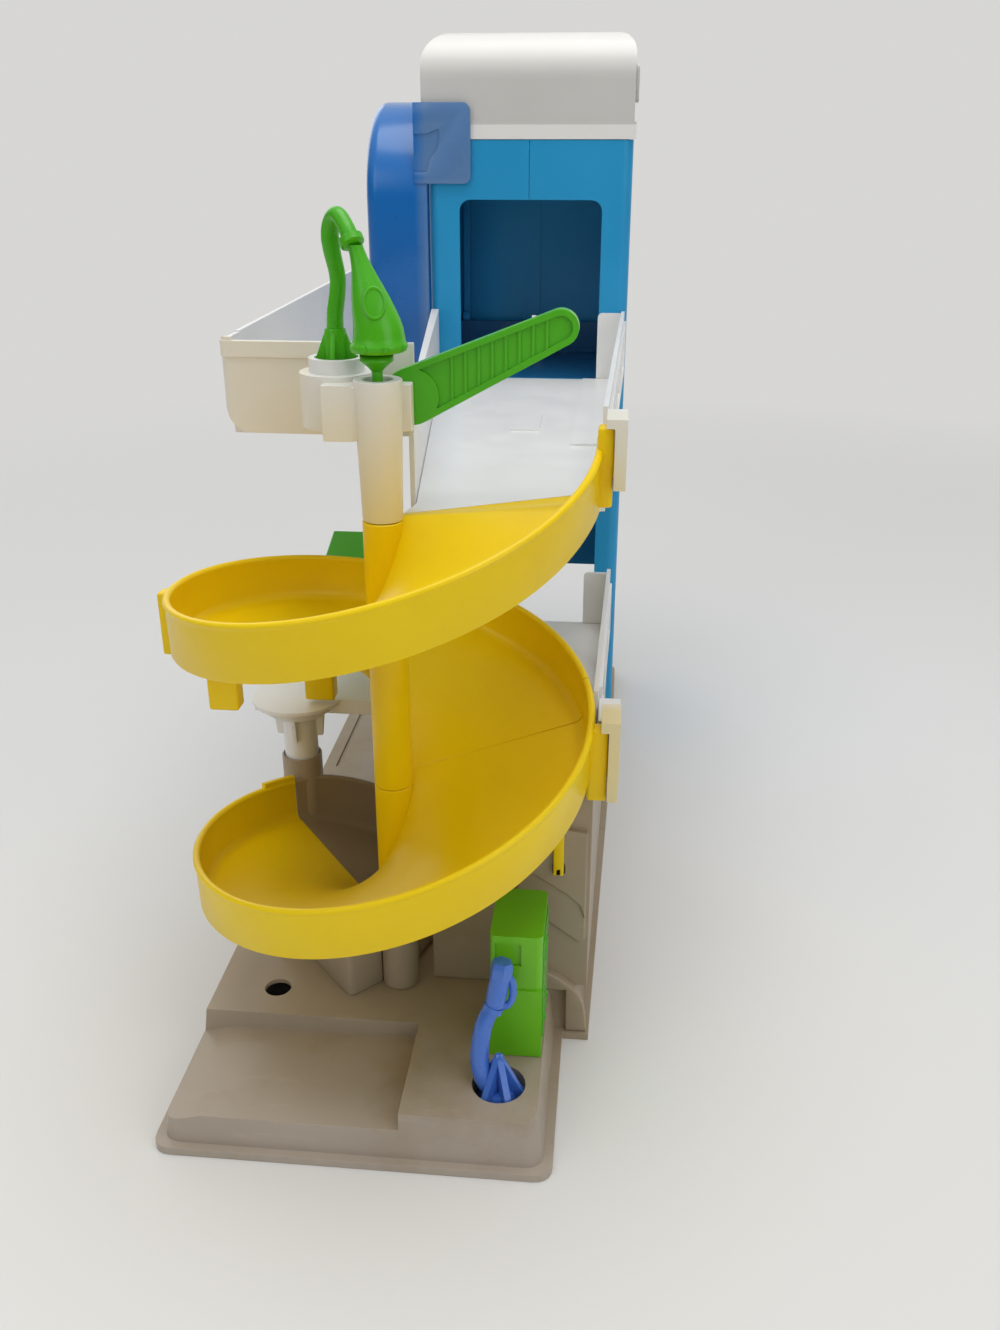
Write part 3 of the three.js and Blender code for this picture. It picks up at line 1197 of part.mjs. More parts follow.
// The roof's outer form, drawn in by a distance
function roofForm(inset, low) {
  const frontView = roundedRect(roof.left + inset, roof.right - inset, low, roofTop - inset, 0, 0,
    roof.rightRound - inset, roof.leftRound - inset);
  const sideView = roundedRect(roof.front + inset, roof.back - inset, low, roofTop - inset, 0, 0,
    roof.backRound - inset, roof.frontRound - inset);
  return extrude(frontView, 'y', roof.front, roof.back, 8)
    .intersect(extrude(sideView, 'x', roof.left, roof.right, 8));
}

function roofCap() {
  const low = tower.top + seat;
  const band = box(roof.left, roof.right, roof.front, roof.back, low, low + roof.band);
  const dome = roofForm(roof.bandIn, low);
  const inner = roofForm(roof.bandIn + roof.wall, low + roof.wall);
  const lipOut = tower.wall + seat;
  const lipLow = tower.top - roof.lip;
  const lipBox = box(tower.left + lipOut, tower.right - lipOut, tower.front + lipOut, tower.back - lipOut,
    lipLow, low + roof.wall / 2);
  const lipIn = lipOut + roof.lipWall;
  const hole = box(tower.left + lipIn, tower.right - lipIn, tower.front + lipIn, tower.back - lipIn,
    lipLow - overrun, low + roof.wall + overrun);
  const corners = extrude(roundedRect(tower.left + lipOut, tower.right - lipOut, tower.front + lipOut,
    tower.back - lipOut, tower.corner - tower.wall), 'z', lipLow, low + roof.wall / 2, 4);
  return join(band, dome).subtract(inner).add(lipBox.intersect(corners)).subtract(hole);
}

function roofPlatePiece() {
  const inner = roof.right - roof.bandIn + seat;
  return extrude(roundedRect(roofPlate.front, roofPlate.back, roofPlate.low, roofPlate.high, roofPlate.corner),
    'x', inner, inner + roofPlate.out, 3);
}

// Side outline of the arch, drawn in by a distance
function archOutline(inset) {
  const middle = arch.front + arch.radius;
  const spring = arch.top - arch.radius;
  const radius = arch.radius - inset;
  const shape = new THREE.Shape();
  shape.moveTo(middle - radius, deckTop + seat);
  shape.lineTo(middle + radius, deckTop + seat);
  shape.lineTo(middle + radius, spring);
  shape.absarc(middle, spring, radius, 0, Math.PI, false);
  shape.lineTo(middle - radius, deckTop + seat);
  return shape;
}

function archCover() {
  const right = tower.left - seat;
  const slice = arch.edge / arch.edgeSteps;
  let outside = extrude(archOutline(0), 'x', arch.left + arch.edge - slice / 2, right, archSteps);
  for (let i = 0; i < arch.edgeSteps; i += 1) {
    // The outer left edge is rounded in steps
    const out = (i + 1 / 2) * slice;
    const drawn = arch.edge - Math.sqrt(arch.edge ** 2 - (arch.edge - out) ** 2);
    outside = outside.add(extrude(archOutline(drawn), 'x', arch.left + i * slice, arch.left + arch.edge,
      archSteps));
  }
  const inside = extrude(archOutline(arch.edge / 2 + arch.wall / 2), 'x', arch.left + arch.frameThick,
    arch.left + arch.edge + overrun, archSteps)
    .add(extrude(archOutline(arch.wall), 'x', arch.left + arch.edge, right + overrun, archSteps));
  const opening = extrude(archOutline(arch.frame), 'x', arch.left - overrun,
    arch.left + 2 * arch.frameThick, archSteps);
  const roofRoom = box(roof.left - seat, right + overrun, roof.front - seat,
    arch.front + 2 * arch.radius + overrun, tower.top - seat, arch.top + overrun);
  const tab = extrude(roundedRect(right - arch.wall, arch.tabRight, arch.tabLow, arch.tabTop, 0, arch.tabCorner,
    arch.tabCorner, 0), 'y', arch.front, arch.front + arch.tabThick, 4);
  const notch = extrude(archNotch.map(([x, z]) => [x, tower.top + z]), 'y', arch.front - overrun,
    arch.front + arch.notchDeep);
  const floorCut = box(arch.left - overrun, right + overrun, arch.front + arch.wall,
    arch.front + 2 * arch.radius - arch.wall, deckTop - overrun, deckTop + overrun);
  return outside.subtract(inside).subtract(opening).subtract(floorCut).subtract(roofRoom)
    .add(tab).subtract(notch);
}

const liftLeft = tower.left + tower.wall + lift.side;
const liftRight = tower.right - tower.wall - lift.side;

function liftPlatform() {
  const front = tower.front + tower.wall + lift.frontGap;
  const floor = extrude(roundedRect(liftLeft, liftRight, front, lift.back, lift.corner, lift.corner, 0, 0),
    'z', deckTop - lift.thick, deckTop, 3);
  const lip = box(liftLeft, liftRight, lift.back - lift.lipThick, lift.back, deckTop - lift.thick / 2,
    deckTop + lift.lipHigh);
  let solid = floor.add(lip);
  for (const x of [platformScrew.left, platformScrew.right]) {
    const shaft = round(x, platformScrew.y, screw.bore, deckTop - lift.thick - overrun, deckTop + overrun, screwSides);
    const head = round(x, platformScrew.y, screw.head + seat, deckTop - screw.headThick - seat,
      deckTop + overrun, screwSides);
    solid = solid.subtract(shaft).subtract(head);
  }
  return solid;
}

function railSpans() {
  const left = tower.left + tower.wall + rail.inset;
  const right = tower.right - tower.wall - rail.inset;
  return [[left, left + rail.width], [right - rail.width, right]];
}

function liftRail(i) {
  const [x0, x1] = railSpans()[i];
  const low = floorTop - well.depth + seat;
  const front = beamBack + rail.frontGap;
  const back = front + rail.thick;
  const stopLow = beamHigh + rail.stopGap;
  return box(x0, x1, front, back, low, rail.top)
    .add(box(x0, x1, beamFront, back, stopLow, stopLow + rail.stopHigh));
}

function liftCarriage() {
  const beam = box(liftLeft, liftRight, beamFront, beamBack, beamLow, beamHigh);
  const footTop = deckTop - lift.thick - seat;
  const foot = box(seamX - lift.footWide / 2, seamX + lift.footWide / 2, lift.back - lift.footReach, beamBack,
    footTop - lift.footThick, footTop);
  const cheekBack = beamBack + lift.cheekReach;
  const cheeks = railSpans().flatMap(([x0, x1]) => [
    box(x0 - running - lift.cheek, x0 - running, beamFront, cheekBack, beamLow, beamHigh),
    box(x1 + running, x1 + running + lift.cheek, beamFront, cheekBack, beamLow, beamHigh),
  ]);
  const handleBore = bar('y', seamX, handle.height, screw.bore, beamFront - overrun, beamBack + overrun, screwSides);
  let solid = join(beam, foot, ...cheeks).subtract(handleBore);
  for (const x of [platformScrew.left, platformScrew.right]) {
    solid = solid.subtract(round(x, platformScrew.y, screw.bore, beamLow, deckTop, screwSides));
  }
  return solid;
}

const knobStart = tower.back + handle.knobGap;

function liftHandle() {
  const start = beamBack + seat;
  const shaft = bar('y', seamX, handle.height, handle.shaft, start, knobStart + wall, roundSides);
  const knob = bar('y', seamX, handle.height, handle.knob, knobStart, knobStart + handle.knobThick, fineSides);
  const bore = bar('y', seamX, handle.height, screw.bore, start - overrun, knobStart, screwSides);
  return join(shaft, knob).subtract(bore);
}

function handleScrew() {
  const head = beamFront - seat - screw.headThick;
  return bar('y', seamX, handle.height, screw.radius, head + screw.headThick / 2, knobStart - wall, screwSides)
    .add(bar('y', seamX, handle.height, screw.head, head, head + screw.headThick, screwSides));
}

function platformScrewPiece(x) {
  return round(x, platformScrew.y, screw.radius, deckTop - platformScrew.length, deckTop - wall / 2, screwSides)
    .add(round(x, platformScrew.y, screw.head, deckTop - screw.headThick, deckTop - seat / 2, screwSides));
}

function brakeSpring() {
  const [x0, x1] = railSpans()[0];
  const middle = (x0 + x1) / 2;
  const front = beamBack + brake.gap;
  return box(middle - brake.width / 2, middle + brake.width / 2, front, front + brake.thick,
    deckTop - brake.below, deckTop + brake.above);
}

function columnSocketPiece() {
  return round(ramp.columnX, 0, columnSocket.radius, floorTop + seat, columnFoot - seat);
}

add('base_front', baseFront(), gray);
add('base_rear', baseRear(), gray);
add('corner_wall', cornerWallPiece(), gray);
add('ramp_landing', rampLanding(), gray);
add('column_socket', columnSocketPiece(), gray);
add('support_post', supportPostPiece(), white);
add('lower_ramp', lowerRamp(), yellow);
add('upper_ramp', upperRamp(), yellow);
add('column_cap', columnCap(), white);
add('mid_deck', midDeck(), white);
add('mid_right_wall', midRightWall(), white);
add('mid_booth', midBooth(), green);
add('upper_deck', upperDeck(), white);
add('right_railing', rightRailing(), white);
add('service_bay', serviceBay(), white);
add('upper_clip', clipPiece(rampTab.upperReach, upperTabTop, clip.upperAbove, clip.upperTall), white);
add('lower_clip', clipPiece(rampTab.lowerReach, lowerTabTop, clip.lowerAbove, clip.lowerTall), white);
const [leftShell, rightShell] = towerShells();
add('tower_left_shell', leftShell, lightBlue);
add('tower_right_shell', rightShell, lightBlue);
add('tower_screw_front', shellScrewPiece(0), steel);
add('tower_screw_back', shellScrewPiece(1), steel);
add('roof_cap', roofCap(), roofWhite);
add('roof_plate', roofPlatePiece(), roofWhite);
add('arch_cover', archCover(), archBlue);
add('lift_rail_left', liftRail(0), lightBlue);
add('lift_rail_right', liftRail(1), lightBlue);
add('lift_platform', liftPlatform(), liftBlue);
add('lift_carriage', liftCarriage(), liftBlue);
add('lift_handle', liftHandle(), yellow);
add('handle_screw', handleScrew(), steel);
add('platform_screw_left', platformScrewPiece(platformScrew.left), steel);
add('platform_screw_right', platformScrewPiece(platformScrew.right), steel);
add('brake_spring', brakeSpring(), steel);
add('boom_gate', boomGate(), green);
add('gate_pin', gatePinPiece(), green);
add('wash_hose', washHose(), green);
add('wash_nozzle', washNozzle(), green);
add('pump_body', pumpBody(), pumpGreen);
add('pump_panel', pumpPanel(), green);
add('pump_nozzle', pumpNozzle(), nozzleBlue);

export default garage;
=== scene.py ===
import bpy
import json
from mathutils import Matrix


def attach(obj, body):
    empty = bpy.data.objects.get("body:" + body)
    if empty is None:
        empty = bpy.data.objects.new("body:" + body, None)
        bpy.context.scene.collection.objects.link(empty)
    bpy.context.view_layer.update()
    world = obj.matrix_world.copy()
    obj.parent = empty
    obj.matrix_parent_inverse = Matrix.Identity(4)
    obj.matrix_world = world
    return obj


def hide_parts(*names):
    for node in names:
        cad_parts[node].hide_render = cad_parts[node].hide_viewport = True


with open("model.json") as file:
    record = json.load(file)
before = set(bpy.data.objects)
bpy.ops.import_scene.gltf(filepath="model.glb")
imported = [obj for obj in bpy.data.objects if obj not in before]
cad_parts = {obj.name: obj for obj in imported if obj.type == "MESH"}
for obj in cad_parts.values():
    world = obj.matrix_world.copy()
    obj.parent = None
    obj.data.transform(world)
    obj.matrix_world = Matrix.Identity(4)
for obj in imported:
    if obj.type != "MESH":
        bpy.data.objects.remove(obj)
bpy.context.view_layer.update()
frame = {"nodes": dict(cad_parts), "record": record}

import bpy
import bmesh
import json
import math
from mathutils import Vector

# The object's lengths are in millimetres up to mesh_piece() and dress_node(), which turn them into
# metres. The camera, the lamps, the floor, the places in the materials and the weld are in metres.
MM = 0.001

# Camera at the photograph's place
CAMERA = dict(place=(0.0997, -0.4951, 0.425), turn=(66.36, 0.0, 5.56), lens=32.59, sensor=36.0)

# Backdrop and light
PALE = (0.68, 0.675, 0.66, 1)
WORLD = dict(color=(0.97, 0.985, 1.0, 1), lit=(0.0, 0.7, 0.30, 0.55), mirrored=(0.1, 0.9, 0.06, 0.9))
LAMPS = (
    # name, place, aim, size, watts, colour
    ("overhead", (0.05, 0.05, 1.7), (0.0, 0.15, 0.1), 1.3, 12.5, (1.0, 0.99, 0.97)),
    ("key", (-0.9, -1.1, 1.1), (0.0, 0.15, 0.2), 0.9, 2.3, (1.0, 0.98, 0.95)),
    ("fill", (1.2, -0.9, 0.8), (0.0, 0.15, 0.2), 1.1, 4.4, (0.97, 0.985, 1.0)),
    ("window", (-1.1, 1.7, 1.1), (0.0, 0.1, 0.25), 1.3, 4.0, (0.97, 0.985, 1.0)),
)
FLOOR = dict(half=6.0, front=-3.0, back=2.6, bend=1.6, high=4.0, steps=24, below=0.0002,
             color=(0.78, 0.775, 0.76, 1), rough=0.8, shine=0.2, fade=(0.6, 1.7))

# Plastics: colours from 0 to 255 in sRGB, deep is what the colour drifts to
PLASTICS = {
    "yellow_plastic": dict(
        name="yellow", rgb=(245, 212, 3), deep=(238, 200, 1), rough=0.36, coat=0.06, under=0.06,
        scuff=dict(streak=(246, 218, 44), streak_share=0.14, dirt=(208, 162, 4), dirt_share=0.2),
        shine=0.25),
    "light_blue_plastic": dict(name="light_blue", rgb=(40, 151, 203), deep=(32, 142, 194), rough=0.36,
                               coat=0.1, shine=0.25),
    "dark_blue_plastic": dict(name="dark_blue", rgb=(0, 108, 188), deep=(0, 95, 170), rough=0.3,
                              coat=0.8, shine=0.2, coat_rough=0.2),
    "lift_blue_plastic": dict(name="lift_blue", rgb=(26, 96, 142), deep=(22, 86, 130), rough=0.38,
                              coat=0.1),
    "white_plastic": dict(name="white", rgb=(234, 234, 232), deep=(227, 227, 227), rough=0.38,
                          under=0.05, coat=0.12),
    "roof_plastic": dict(name="roof_white", rgb=(206, 204, 200), deep=(198, 196, 192), rough=0.36,
                         under=0.05, coat=0.15),
    "green_plastic": dict(name="green", rgb=(84, 186, 24), deep=(68, 170, 16), rough=0.3, coat=0.15,
                          under=0.1, shine=0.3),
    "pump_green_plastic": dict(name="pump_green", rgb=(118, 196, 32), deep=(102, 182, 22), rough=0.3,
                               coat=0.15, shine=0.3),
    "nozzle_blue_plastic": dict(name="nozzle_blue", rgb=(76, 124, 214), deep=(64, 110, 200),
                                rough=0.25, coat=0.4),
    "gray_plastic": dict(
        name="gray", rgb=(178, 166, 153), deep=(166, 154, 140), rough=0.42, coat=0.12, grain=0.05,
        scuff=dict(streak=(194, 182, 166), streak_share=0.35, dirt=(140, 120, 82), dirt_share=0.55)),
}
# Painted light and shade: colours blended into materials by place, where light, bounce light or shade
# falls on them
PAINTED_LIGHT_TINTS = (
    # slot, colour, axis, from and to along it, share at each, and where it fades out to the back
    # Painted warm bounce light from the yellow ramp: the white parts yellower low down, fading out to the
    # back
    ("white_plastic", (224, 209, 152), "Z", (0.275, 0.335), (0.9, 0.12), (0.002, 0.014)),
    # Painted warm bounce light from the yellow ramp, partly yellowing with age: the white parts warmer at
    # the left
    ("white_plastic", (236, 219, 176), "X", (-0.035, -0.028), (0.4, 0.0), (0.037, 0.048)),
    # Painted light: the roof's top lighter where the overhead light falls on it
    ("roof_plastic", (231, 229, 225), "Z", (0.458, 0.476), (0.0, 1.0), None),
    # Painted highlight: the roof's lower band lighter, as if its ledge catches the light
    ("roof_plastic", (236, 234, 230), "Z", (0.4324, 0.4331), (0.8, 0.0), None),
    # Painted sheen, partly the faded remains of a label: the arch's tab lighter and greyer
    ("dark_blue_plastic", (108, 136, 168), "X", (-0.036, -0.028), (0.0, 0.6), None),
    # Painted shade and yellow bounce light: the grey base browner towards the back
    ("gray_plastic", (148, 124, 74), "Y", (-0.1, 0.0), (0.0, 0.4), None),
)
# Noise: scale, detail and roughness
DRIFT = (9.0, 3, 0.5)
GLOSS = (55.0, 4, 0.5)
STREAKS = (26.0, 6, 0.7)
DIRT = (11.0, 5, 0.65)
GRAIN = (420.0, 3, 0.5)
STEEL_SHADE = (600.0, 3, 0.5)
STEEL_GLOSS = (900.0, 2, 0.5)
# Values of the noise between which a patch fades in
PATCH_RANGE = (0.3, 0.7)
STREAK_RANGE = (0.60, 0.74)
DIRT_RANGE = (0.52, 0.72)
# How the noise is used: the streaks' stretch, the grain's depth in metres and the change in roughness
STREAK_STRETCH = (1.0, 5.0, 5.0)
GRAIN_DEEP = 0.0006
GLOSS_REACH = (-0.05, 0.07)
# Light that passes under a plastic's surface: its reach for red, green and blue, and a scale in metres
UNDER_RADIUS = (0.6, 0.5, 0.4)
UNDER_SCALE = 0.002
STEEL_ROUGH = (0.25, 0.45)
STEEL_DARK = (0.42, 0.41, 0.39, 1)
STEEL_LIGHT = (0.62, 0.61, 0.58, 1)

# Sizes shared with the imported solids
SEAT = 0.3
FLOOR_TOP = 29.0
DECK_TOP = 275.2
LOW = FLOOR_TOP + SEAT
TOWER = dict(left=-27.7, right=103.5, back=462.0)
RAMP = dict(radius=94.3, column=9.0, column_x=0.7, column_edge=0.5, wall=2.0, floor=2.0, side=25.0,
            bead=3.0, floor_below_rim=23.4, rim_start=315.1, rim_end=108.3, dip=17.0, dip_at=105.0,
            dip_power=1.5, inner_start=275.4, inner_end=61.7, bank_turn=50.0, start=-27.0,
            wall_start=-2.0, lap=1.0, seam=344.0, end=584.0, column_seam=144.3, column_foot=58.3,
            cap_seam=273.7, gap=0.4)
INSIDE = RAMP["radius"] - RAMP["wall"]
LANDING = dict(end=650.0, rim_drop=34.0, inner_end=2.6, outer_end=4.4, inner_radius=10.2,
               start=4.0, reach=84.0, wide=27.8, far_wide=22.0, behind=-1.0, corner=3.0, top=57.3,
               end_wall=2.0, overlap=1.0, room_steps=6, corner_steps=5)
SOCKET = dict(x=-65.5, y=78.8, out=10.8, bore=9.5, floor=96.0, top=116.0, edge=0.4, edge_high=0.6)
ARCH = dict(left=-68.6, right=-28.0, roof_side=-32.8, front=328.6, radius=60.0, top=447.0, wall=3.0,
            frame=11.0, lip=2.4, lip_from=110, lip_steps=5, edge=8.0, edge_steps=8, soft=0.6,
            roof_low=423.7, stations=90)

# Shapes made here: the radius that stands for a turned piece's axis, the angles from which an edge is
# rounded and from which it is shaded sharp, the step of a sweep in degrees and a round shape's sides
CORE = 0.01
SOFT_ANGLE = 25.0
SHARP_ANGLE = 38.0
SWEEP_STEP = 2.5
ROUND_SIDES = 48

# Section of the ramp's channel: its fillet, the bead on its rim and its foot
CHANNEL = dict(fillet=5.0, fillet_steps=5, bead_middle=1.2, bead_radius=1.7, bead_steps=8, bead_out=0.2,
               bead_under=1.0, foot_in=0.4, foot_rise=0.8, foot_edge=1.0, inner_step=0.4)
FLOOR_SHARES = (0.25, 0.5, 0.75)
RIM_LUG = dict(turn=12.0, high=2.6, out=0.6, edge=0.5)
UPPER_TABS = (
    # left, right, front, back, low, high, edge
    (INSIDE, 99.0, -9.0, 0.0, 284.0, 317.5, 1.4),
    (-103.5, -INSIDE, -4.0, 4.0, 207.5, 237.5, 1.2),
    (-58.05, -42.55, 66.2, 76.2, 153.6, 203.8, 1.2),
    (-69.0, -56.0, -45.5, -36.5, 200.8, 222.5, 1.2),
)
LOWER_TABS = (
    (INSIDE, 101.4, -9.0, 0.0, 144.2, 180.5, 1.4),
    (77.5, 82.5, -2.6, 0.0, 98.3, 157.0, 0.6),
    (78.5, 81.5, -2.6, 8.0, 98.3, 102.3, 0.6),
)

# Tab of the arch in front of the tower's top left corner, and the area sunk into its front: the
# heights where that leaves the tab's left side, and its other points as across and up
TAB = dict(lap=8.0, right=0.6, low=398.0, high=445.6, round=5.0, round_steps=6, thick=1.2,
           back_from=1.0, back=2.6, back_edge=0.4)
TAB_SUNK = (427.0, 405.0)
TAB_SUNK_POINTS = ((-26.4, 427.7), (-20.0, 430.3), (-19.3, 429.6), (-20.3, 419.2), (-25.3, 413.2),
                   (-27.7, 405.0))

# Hose with its finned foot; its route is from the top of the cup's middle
HOSE = dict(x=-20.2, y=18.0, low=328.1, top=339.8, foot=8.4, foot_high=5.0, stem=4.6, stem_top=351.6,
            stem_edge=0.4, stem_edge_high=1.0, fin_half=1.0, fin_from=4.0, fin_edge=0.4, steps=6,
            ring_steps=1, sides=28)
FIN_OUTLINE = ((8.8, 339.4), (4.4, 350.4), (-4.4, 350.4), (-8.8, 339.4))
HOSE_ROUTE = ((0, 0, 10.6), (0.4, 0, 18), (1.8, 0, 26), (2.2, 0, 33), (0.4, 0, 43), (0, 0, 50.5),
              (2, -2, 55.6), (5.2, -5.6, 56.6), (9.2, -10, 52), (12.0, -13, 46.6))
HOSE_RADII = (3.6, 3.5, 3.4, 3.4, 3.8, 3.5, 3.4, 3.4, 3.5)
HOSE_RING_PLACES = (-3.2, -2.6, 0.2, 0.8)
HOSE_RING_RADII = (4.2, 5.0, 5.0, 4.2)

# Bell-shaped nozzle: its shift to the right, height and radius at each station. Where it leans to
# the left it leans back too, by a share of that. Below it is a turned stem.
NOZZLE_STATIONS = (
    (0, 344.4, 6.9), (0.6, 345.2, 11.0), (0.9, 346.2, 11.7), (1.1, 347.4, 11.9), (1.3, 348.4, 11.6),
    (1.4, 349.2, 10.9), (1.4, 351.4, 10.6), (1.2, 354.6, 10.2), (0.6, 358.2, 9.6), (-0.4, 362.0, 8.8),
    (-1.5, 366.0, 7.8), (-2.7, 370.0, 6.6), (-3.9, 374.0, 5.3), (-5.2, 378.0, 4.2), (-6.4, 381.4, 3.5),
    (-7.3, 384.0, 3.2), (-8.0, 386.0, 3.1),
)
NOZZLE_BACK_SHARE = 0.62
NOZZLE_STEM = ((CORE, 322.4), (2.25, 322.4), (2.25, 337.0), (3.4, 338.4), (5.6, 340.4), (6.9, 341.4),
               (6.9, 344.4), (5.5, 345.0), (CORE, 345.0))
NOZZLE_PAD = dict(right=1.4, y=-7.6, z=365.0, ahead=(0.30, -0.92, 0.27), wide=4.2, high=6.2, rise=0.8,
                  sides=40)
PAD_STEPS = (
    # share of the size, share of the rise, and how far behind
    (1.12, 0.0, 3.0), (1.1, 0.0, 0.0), (1.0, 1.0, 0.0), (0.9, 1.0, 0.0), (0.84, 0.5, 0.0),
    (0.5, 0.8, 0.0),
)
LUGS = dict(angles=(250, 295, 340), right=1.1, radius=11.7, half=1.1, low=346.2, high=348.8, edge=0.5,
            edge_steps=2)

# Filler nozzle that stands in the base's cup
FILLER = dict(x=57.7, y=-69.7, low=15.3, hub=8.6, hub_side=23.0, hub_neck=6.8, hub_neck_high=26.0,
              hub_top=27.0, hub_sides=40, fin=11.4, fin_half=1.5, fin_side=26.4, fin_edge=1.2,
              fin_shoulder=27.6, fin_tip=45.4, fin_top=45.9)
FILLER_FINS = (0, 55, 110, 145, 235, 300)
FILLER_TUBES = (
    # route from the cup's middle, radii, steps, sides
    (((-1, -0.5, 0.5), (-5.2, -1, 0.6), (-8, -0.2, 7.5), (-8.9, 2, 16), (-7.4, 5.3, 28),
      (-4.2, 7.6, 35.6), (-2.8, 8.2, 38)), (3.8, 4.3, 4.4, 4.3, 4.1, 3.9, 4.2), 6, 28),
    (((-3.7, 7.4, 35.2), (-2.9, 8.1, 37.6)), (4.7, 4.7), 1, 28),
    (((-2.8, 8.2, 37.6), (-1.6, 10, 44), (-0.6, 11.4, 50), (0, 12.6, 55.6)), (4.3, 4.7, 4.6, 4.5), 5, 28),
    (((-0.4, 11.6, 51.0), (0.2, 12.4, 55.4), (0.6, 12.9, 58.6)), (5.2, 5.3, 4.6), 4, 6),
    (((-2.2, 8.8, 38.0), (2.6, 9.6, 36.8), (5.2, 10.8, 41.0), (5.0, 11.8, 48.0), (2.0, 12.2, 52.6)),
     (1.7, 1.7, 1.7, 1.7), 6, 16),
)

# Small pieces
TONGUE = dict(half=3.0, front=1.7, back=0.7, low=276.0, high=422.0, edge=0.2, edge_steps=1)
BRACKET = (-12.0, -5.4, -4.95, 3.0, 308.7, 331.4, 0.7)
WALL_FOOT = dict(front=-1.8, back=3.6, edge=0.8, edge_steps=3)
WALL_FOOT_OUTLINE = (
    # across and up
    (56, 29.4), (56, 44.5), (66, 42.6), (73.6, 40.4), (81, 36.8), (87.9, 31.4), (91.5, 27),
    (94.1, 21.2), (95.4, 12), (96, 4.3), (85.2, 4.3), (85, 29.4),
)

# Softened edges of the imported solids
WELD = 1e-6
FLAT_ANGLE = 0.6
EDGE_ANGLE = 34.0
EDGE_STEPS = 2
EDGE_WEIGHT = 80
PLAIN_EDGE = 0.3
# A merged face would close the hollow or the windows of these
KEPT_FACES = {"base_rear", "right_railing", "mid_right_wall"}
EDGE_WIDTHS = {
    "base_front": 1.1, "base_rear": 1.1, "corner_wall": 0.9, "tower_left_shell": 0.9,
    "tower_right_shell": 0.9, "roof_cap": 1.3, "service_bay": 0.7, "right_railing": 0.6,
    "mid_right_wall": 0.6, "upper_deck": 0.4, "mid_deck": 0.6, "pump_body": 1.2, "upper_clip": 1.1,
    "lower_clip": 1.1, "mid_booth": 0.8, "lift_platform": 0.5, "lift_carriage": 0.5,
    "lift_handle": 1.0, "column_cap": 0.6, "boom_gate": 0.5, "support_post": 0.5,
    "column_socket": 0.5, "brake_spring": 0.0,
}
REPLACED = {"upper_ramp", "lower_ramp", "ramp_landing", "arch_cover", "wash_hose", "wash_nozzle",
            "pump_nozzle"}


def setup_view():
    scene = bpy.context.scene
    scene.view_settings.view_transform = "Standard"
    data = bpy.data.cameras.new("camera")
    data.sensor_fit = "VERTICAL"
    data.sensor_height = CAMERA["sensor"]
    data.sensor_width = CAMERA["sensor"]
    data.lens = CAMERA["lens"]
    camera = bpy.data.objects.new("camera", data)
    camera.location = CAMERA["place"]
    camera.rotation_euler = [math.radians(a) for a in CAMERA["turn"]]
    scene.collection.objects.link(camera)
    scene.camera = camera


def area_light(name, place, aim, size, watts, color):
    data = bpy.data.lights.new(name, "AREA")
    data.shape = "DISK"
    data.size = size
    data.energy = watts
    data.color = color
    light = bpy.data.objects.new(name, data)
    light.location = place
    toward = Vector(aim) - Vector(place)
    light.rotation_euler = toward.to_track_quat("-Z", "Y").to_euler()
    bpy.context.scene.collection.objects.link(light)


def math_node(tree, operation, a, b):
    node = tree.nodes.new("ShaderNodeMath")
    node.operation = operation
    tree.links.new(a, node.inputs[0])
    tree.links.new(b, node.inputs[1])
    return node.outputs[0]


def ray_switch(tree, *names):
    """A value that is 1 for the named kinds of rays."""
    path = tree.nodes.new("ShaderNodeLightPath")
    value = path.outputs[names[0]]
    for name in names[1:]:
        value = math_node(tree, "MAXIMUM", value, path.outputs[name])
    return value


def coordinate(tree, output):
    return tree.nodes.new("ShaderNodeTexCoord").outputs[output]


def split_place(tree, output):
    parts = tree.nodes.new("ShaderNodeSeparateXYZ")
    tree.links.new(coordinate(tree, output), parts.inputs["Vector"])
    return parts.outputs


def mix_shaders(tree, share, first, second):
    mixed = tree.nodes.new("ShaderNodeMixShader")
    tree.links.new(share, mixed.inputs["Fac"])
    tree.links.new(first, mixed.inputs[1])
    tree.links.new(second, mixed.inputs[2])
    return mixed.outputs[0]


def setup_world():
    """One pale colour for the camera, and a sky that is brighter overhead for the light."""
    world = bpy.data.worlds.new("studio")
    bpy.context.scene.world = world
    world.use_nodes = True
    tree = world.node_tree
    tree.nodes.clear()
    out = tree.nodes.new("ShaderNodeOutputWorld")
    seen = tree.nodes.new("ShaderNodeBackground")
    seen.inputs["Color"].default_value = PALE
    sky = tree.nodes.new("ShaderNodeBackground")
    sky.inputs["Color"].default_value = WORLD["color"]
    up = split_place(tree, "Generated")["Z"]
    level = tree.nodes.new("ShaderNodeMix")
    tree.links.new(ray_switch(tree, "Is Glossy Ray"), level.inputs[0])
    tree.links.new(spread(tree, up, *WORLD["lit"]), level.inputs[2])
    tree.links.new(spread(tree, up, *WORLD["mirrored"]), level.inputs[3])
    tree.links.new(level.outputs[0], sky.inputs["Strength"])
    straight = ray_switch(tree, "Is Camera Ray", "Is Transmission Ray")
    tree.links.new(mix_shaders(tree, straight, sky.outputs[0], seen.outputs[0]), out.inputs["Surface"])
    for lamp in LAMPS:
        area_light(*lamp)


def floor_mesh():
    line = [(FLOOR["front"], 0.0)]
    back, bend, steps = FLOOR["back"], FLOOR["bend"], FLOOR["steps"]
    for k in range(steps + 1):
        a = math.pi / 2 * k / steps
        line.append((back + bend * math.sin(a), bend - bend * math.cos(a)))
    line.append((back + bend, FLOOR["high"]))
    verts = [(x, y, z) for y, z in line for x in (-FLOOR["half"], FLOOR["half"])]
    faces = [(2 * k, 2 * k + 1, 2 * k + 3, 2 * k + 2) for k in range(len(line) - 1)]
    mesh = bpy.data.meshes.new("floor")
    mesh.from_pydata(verts, [], faces)
    mesh.shade_smooth()
    return mesh


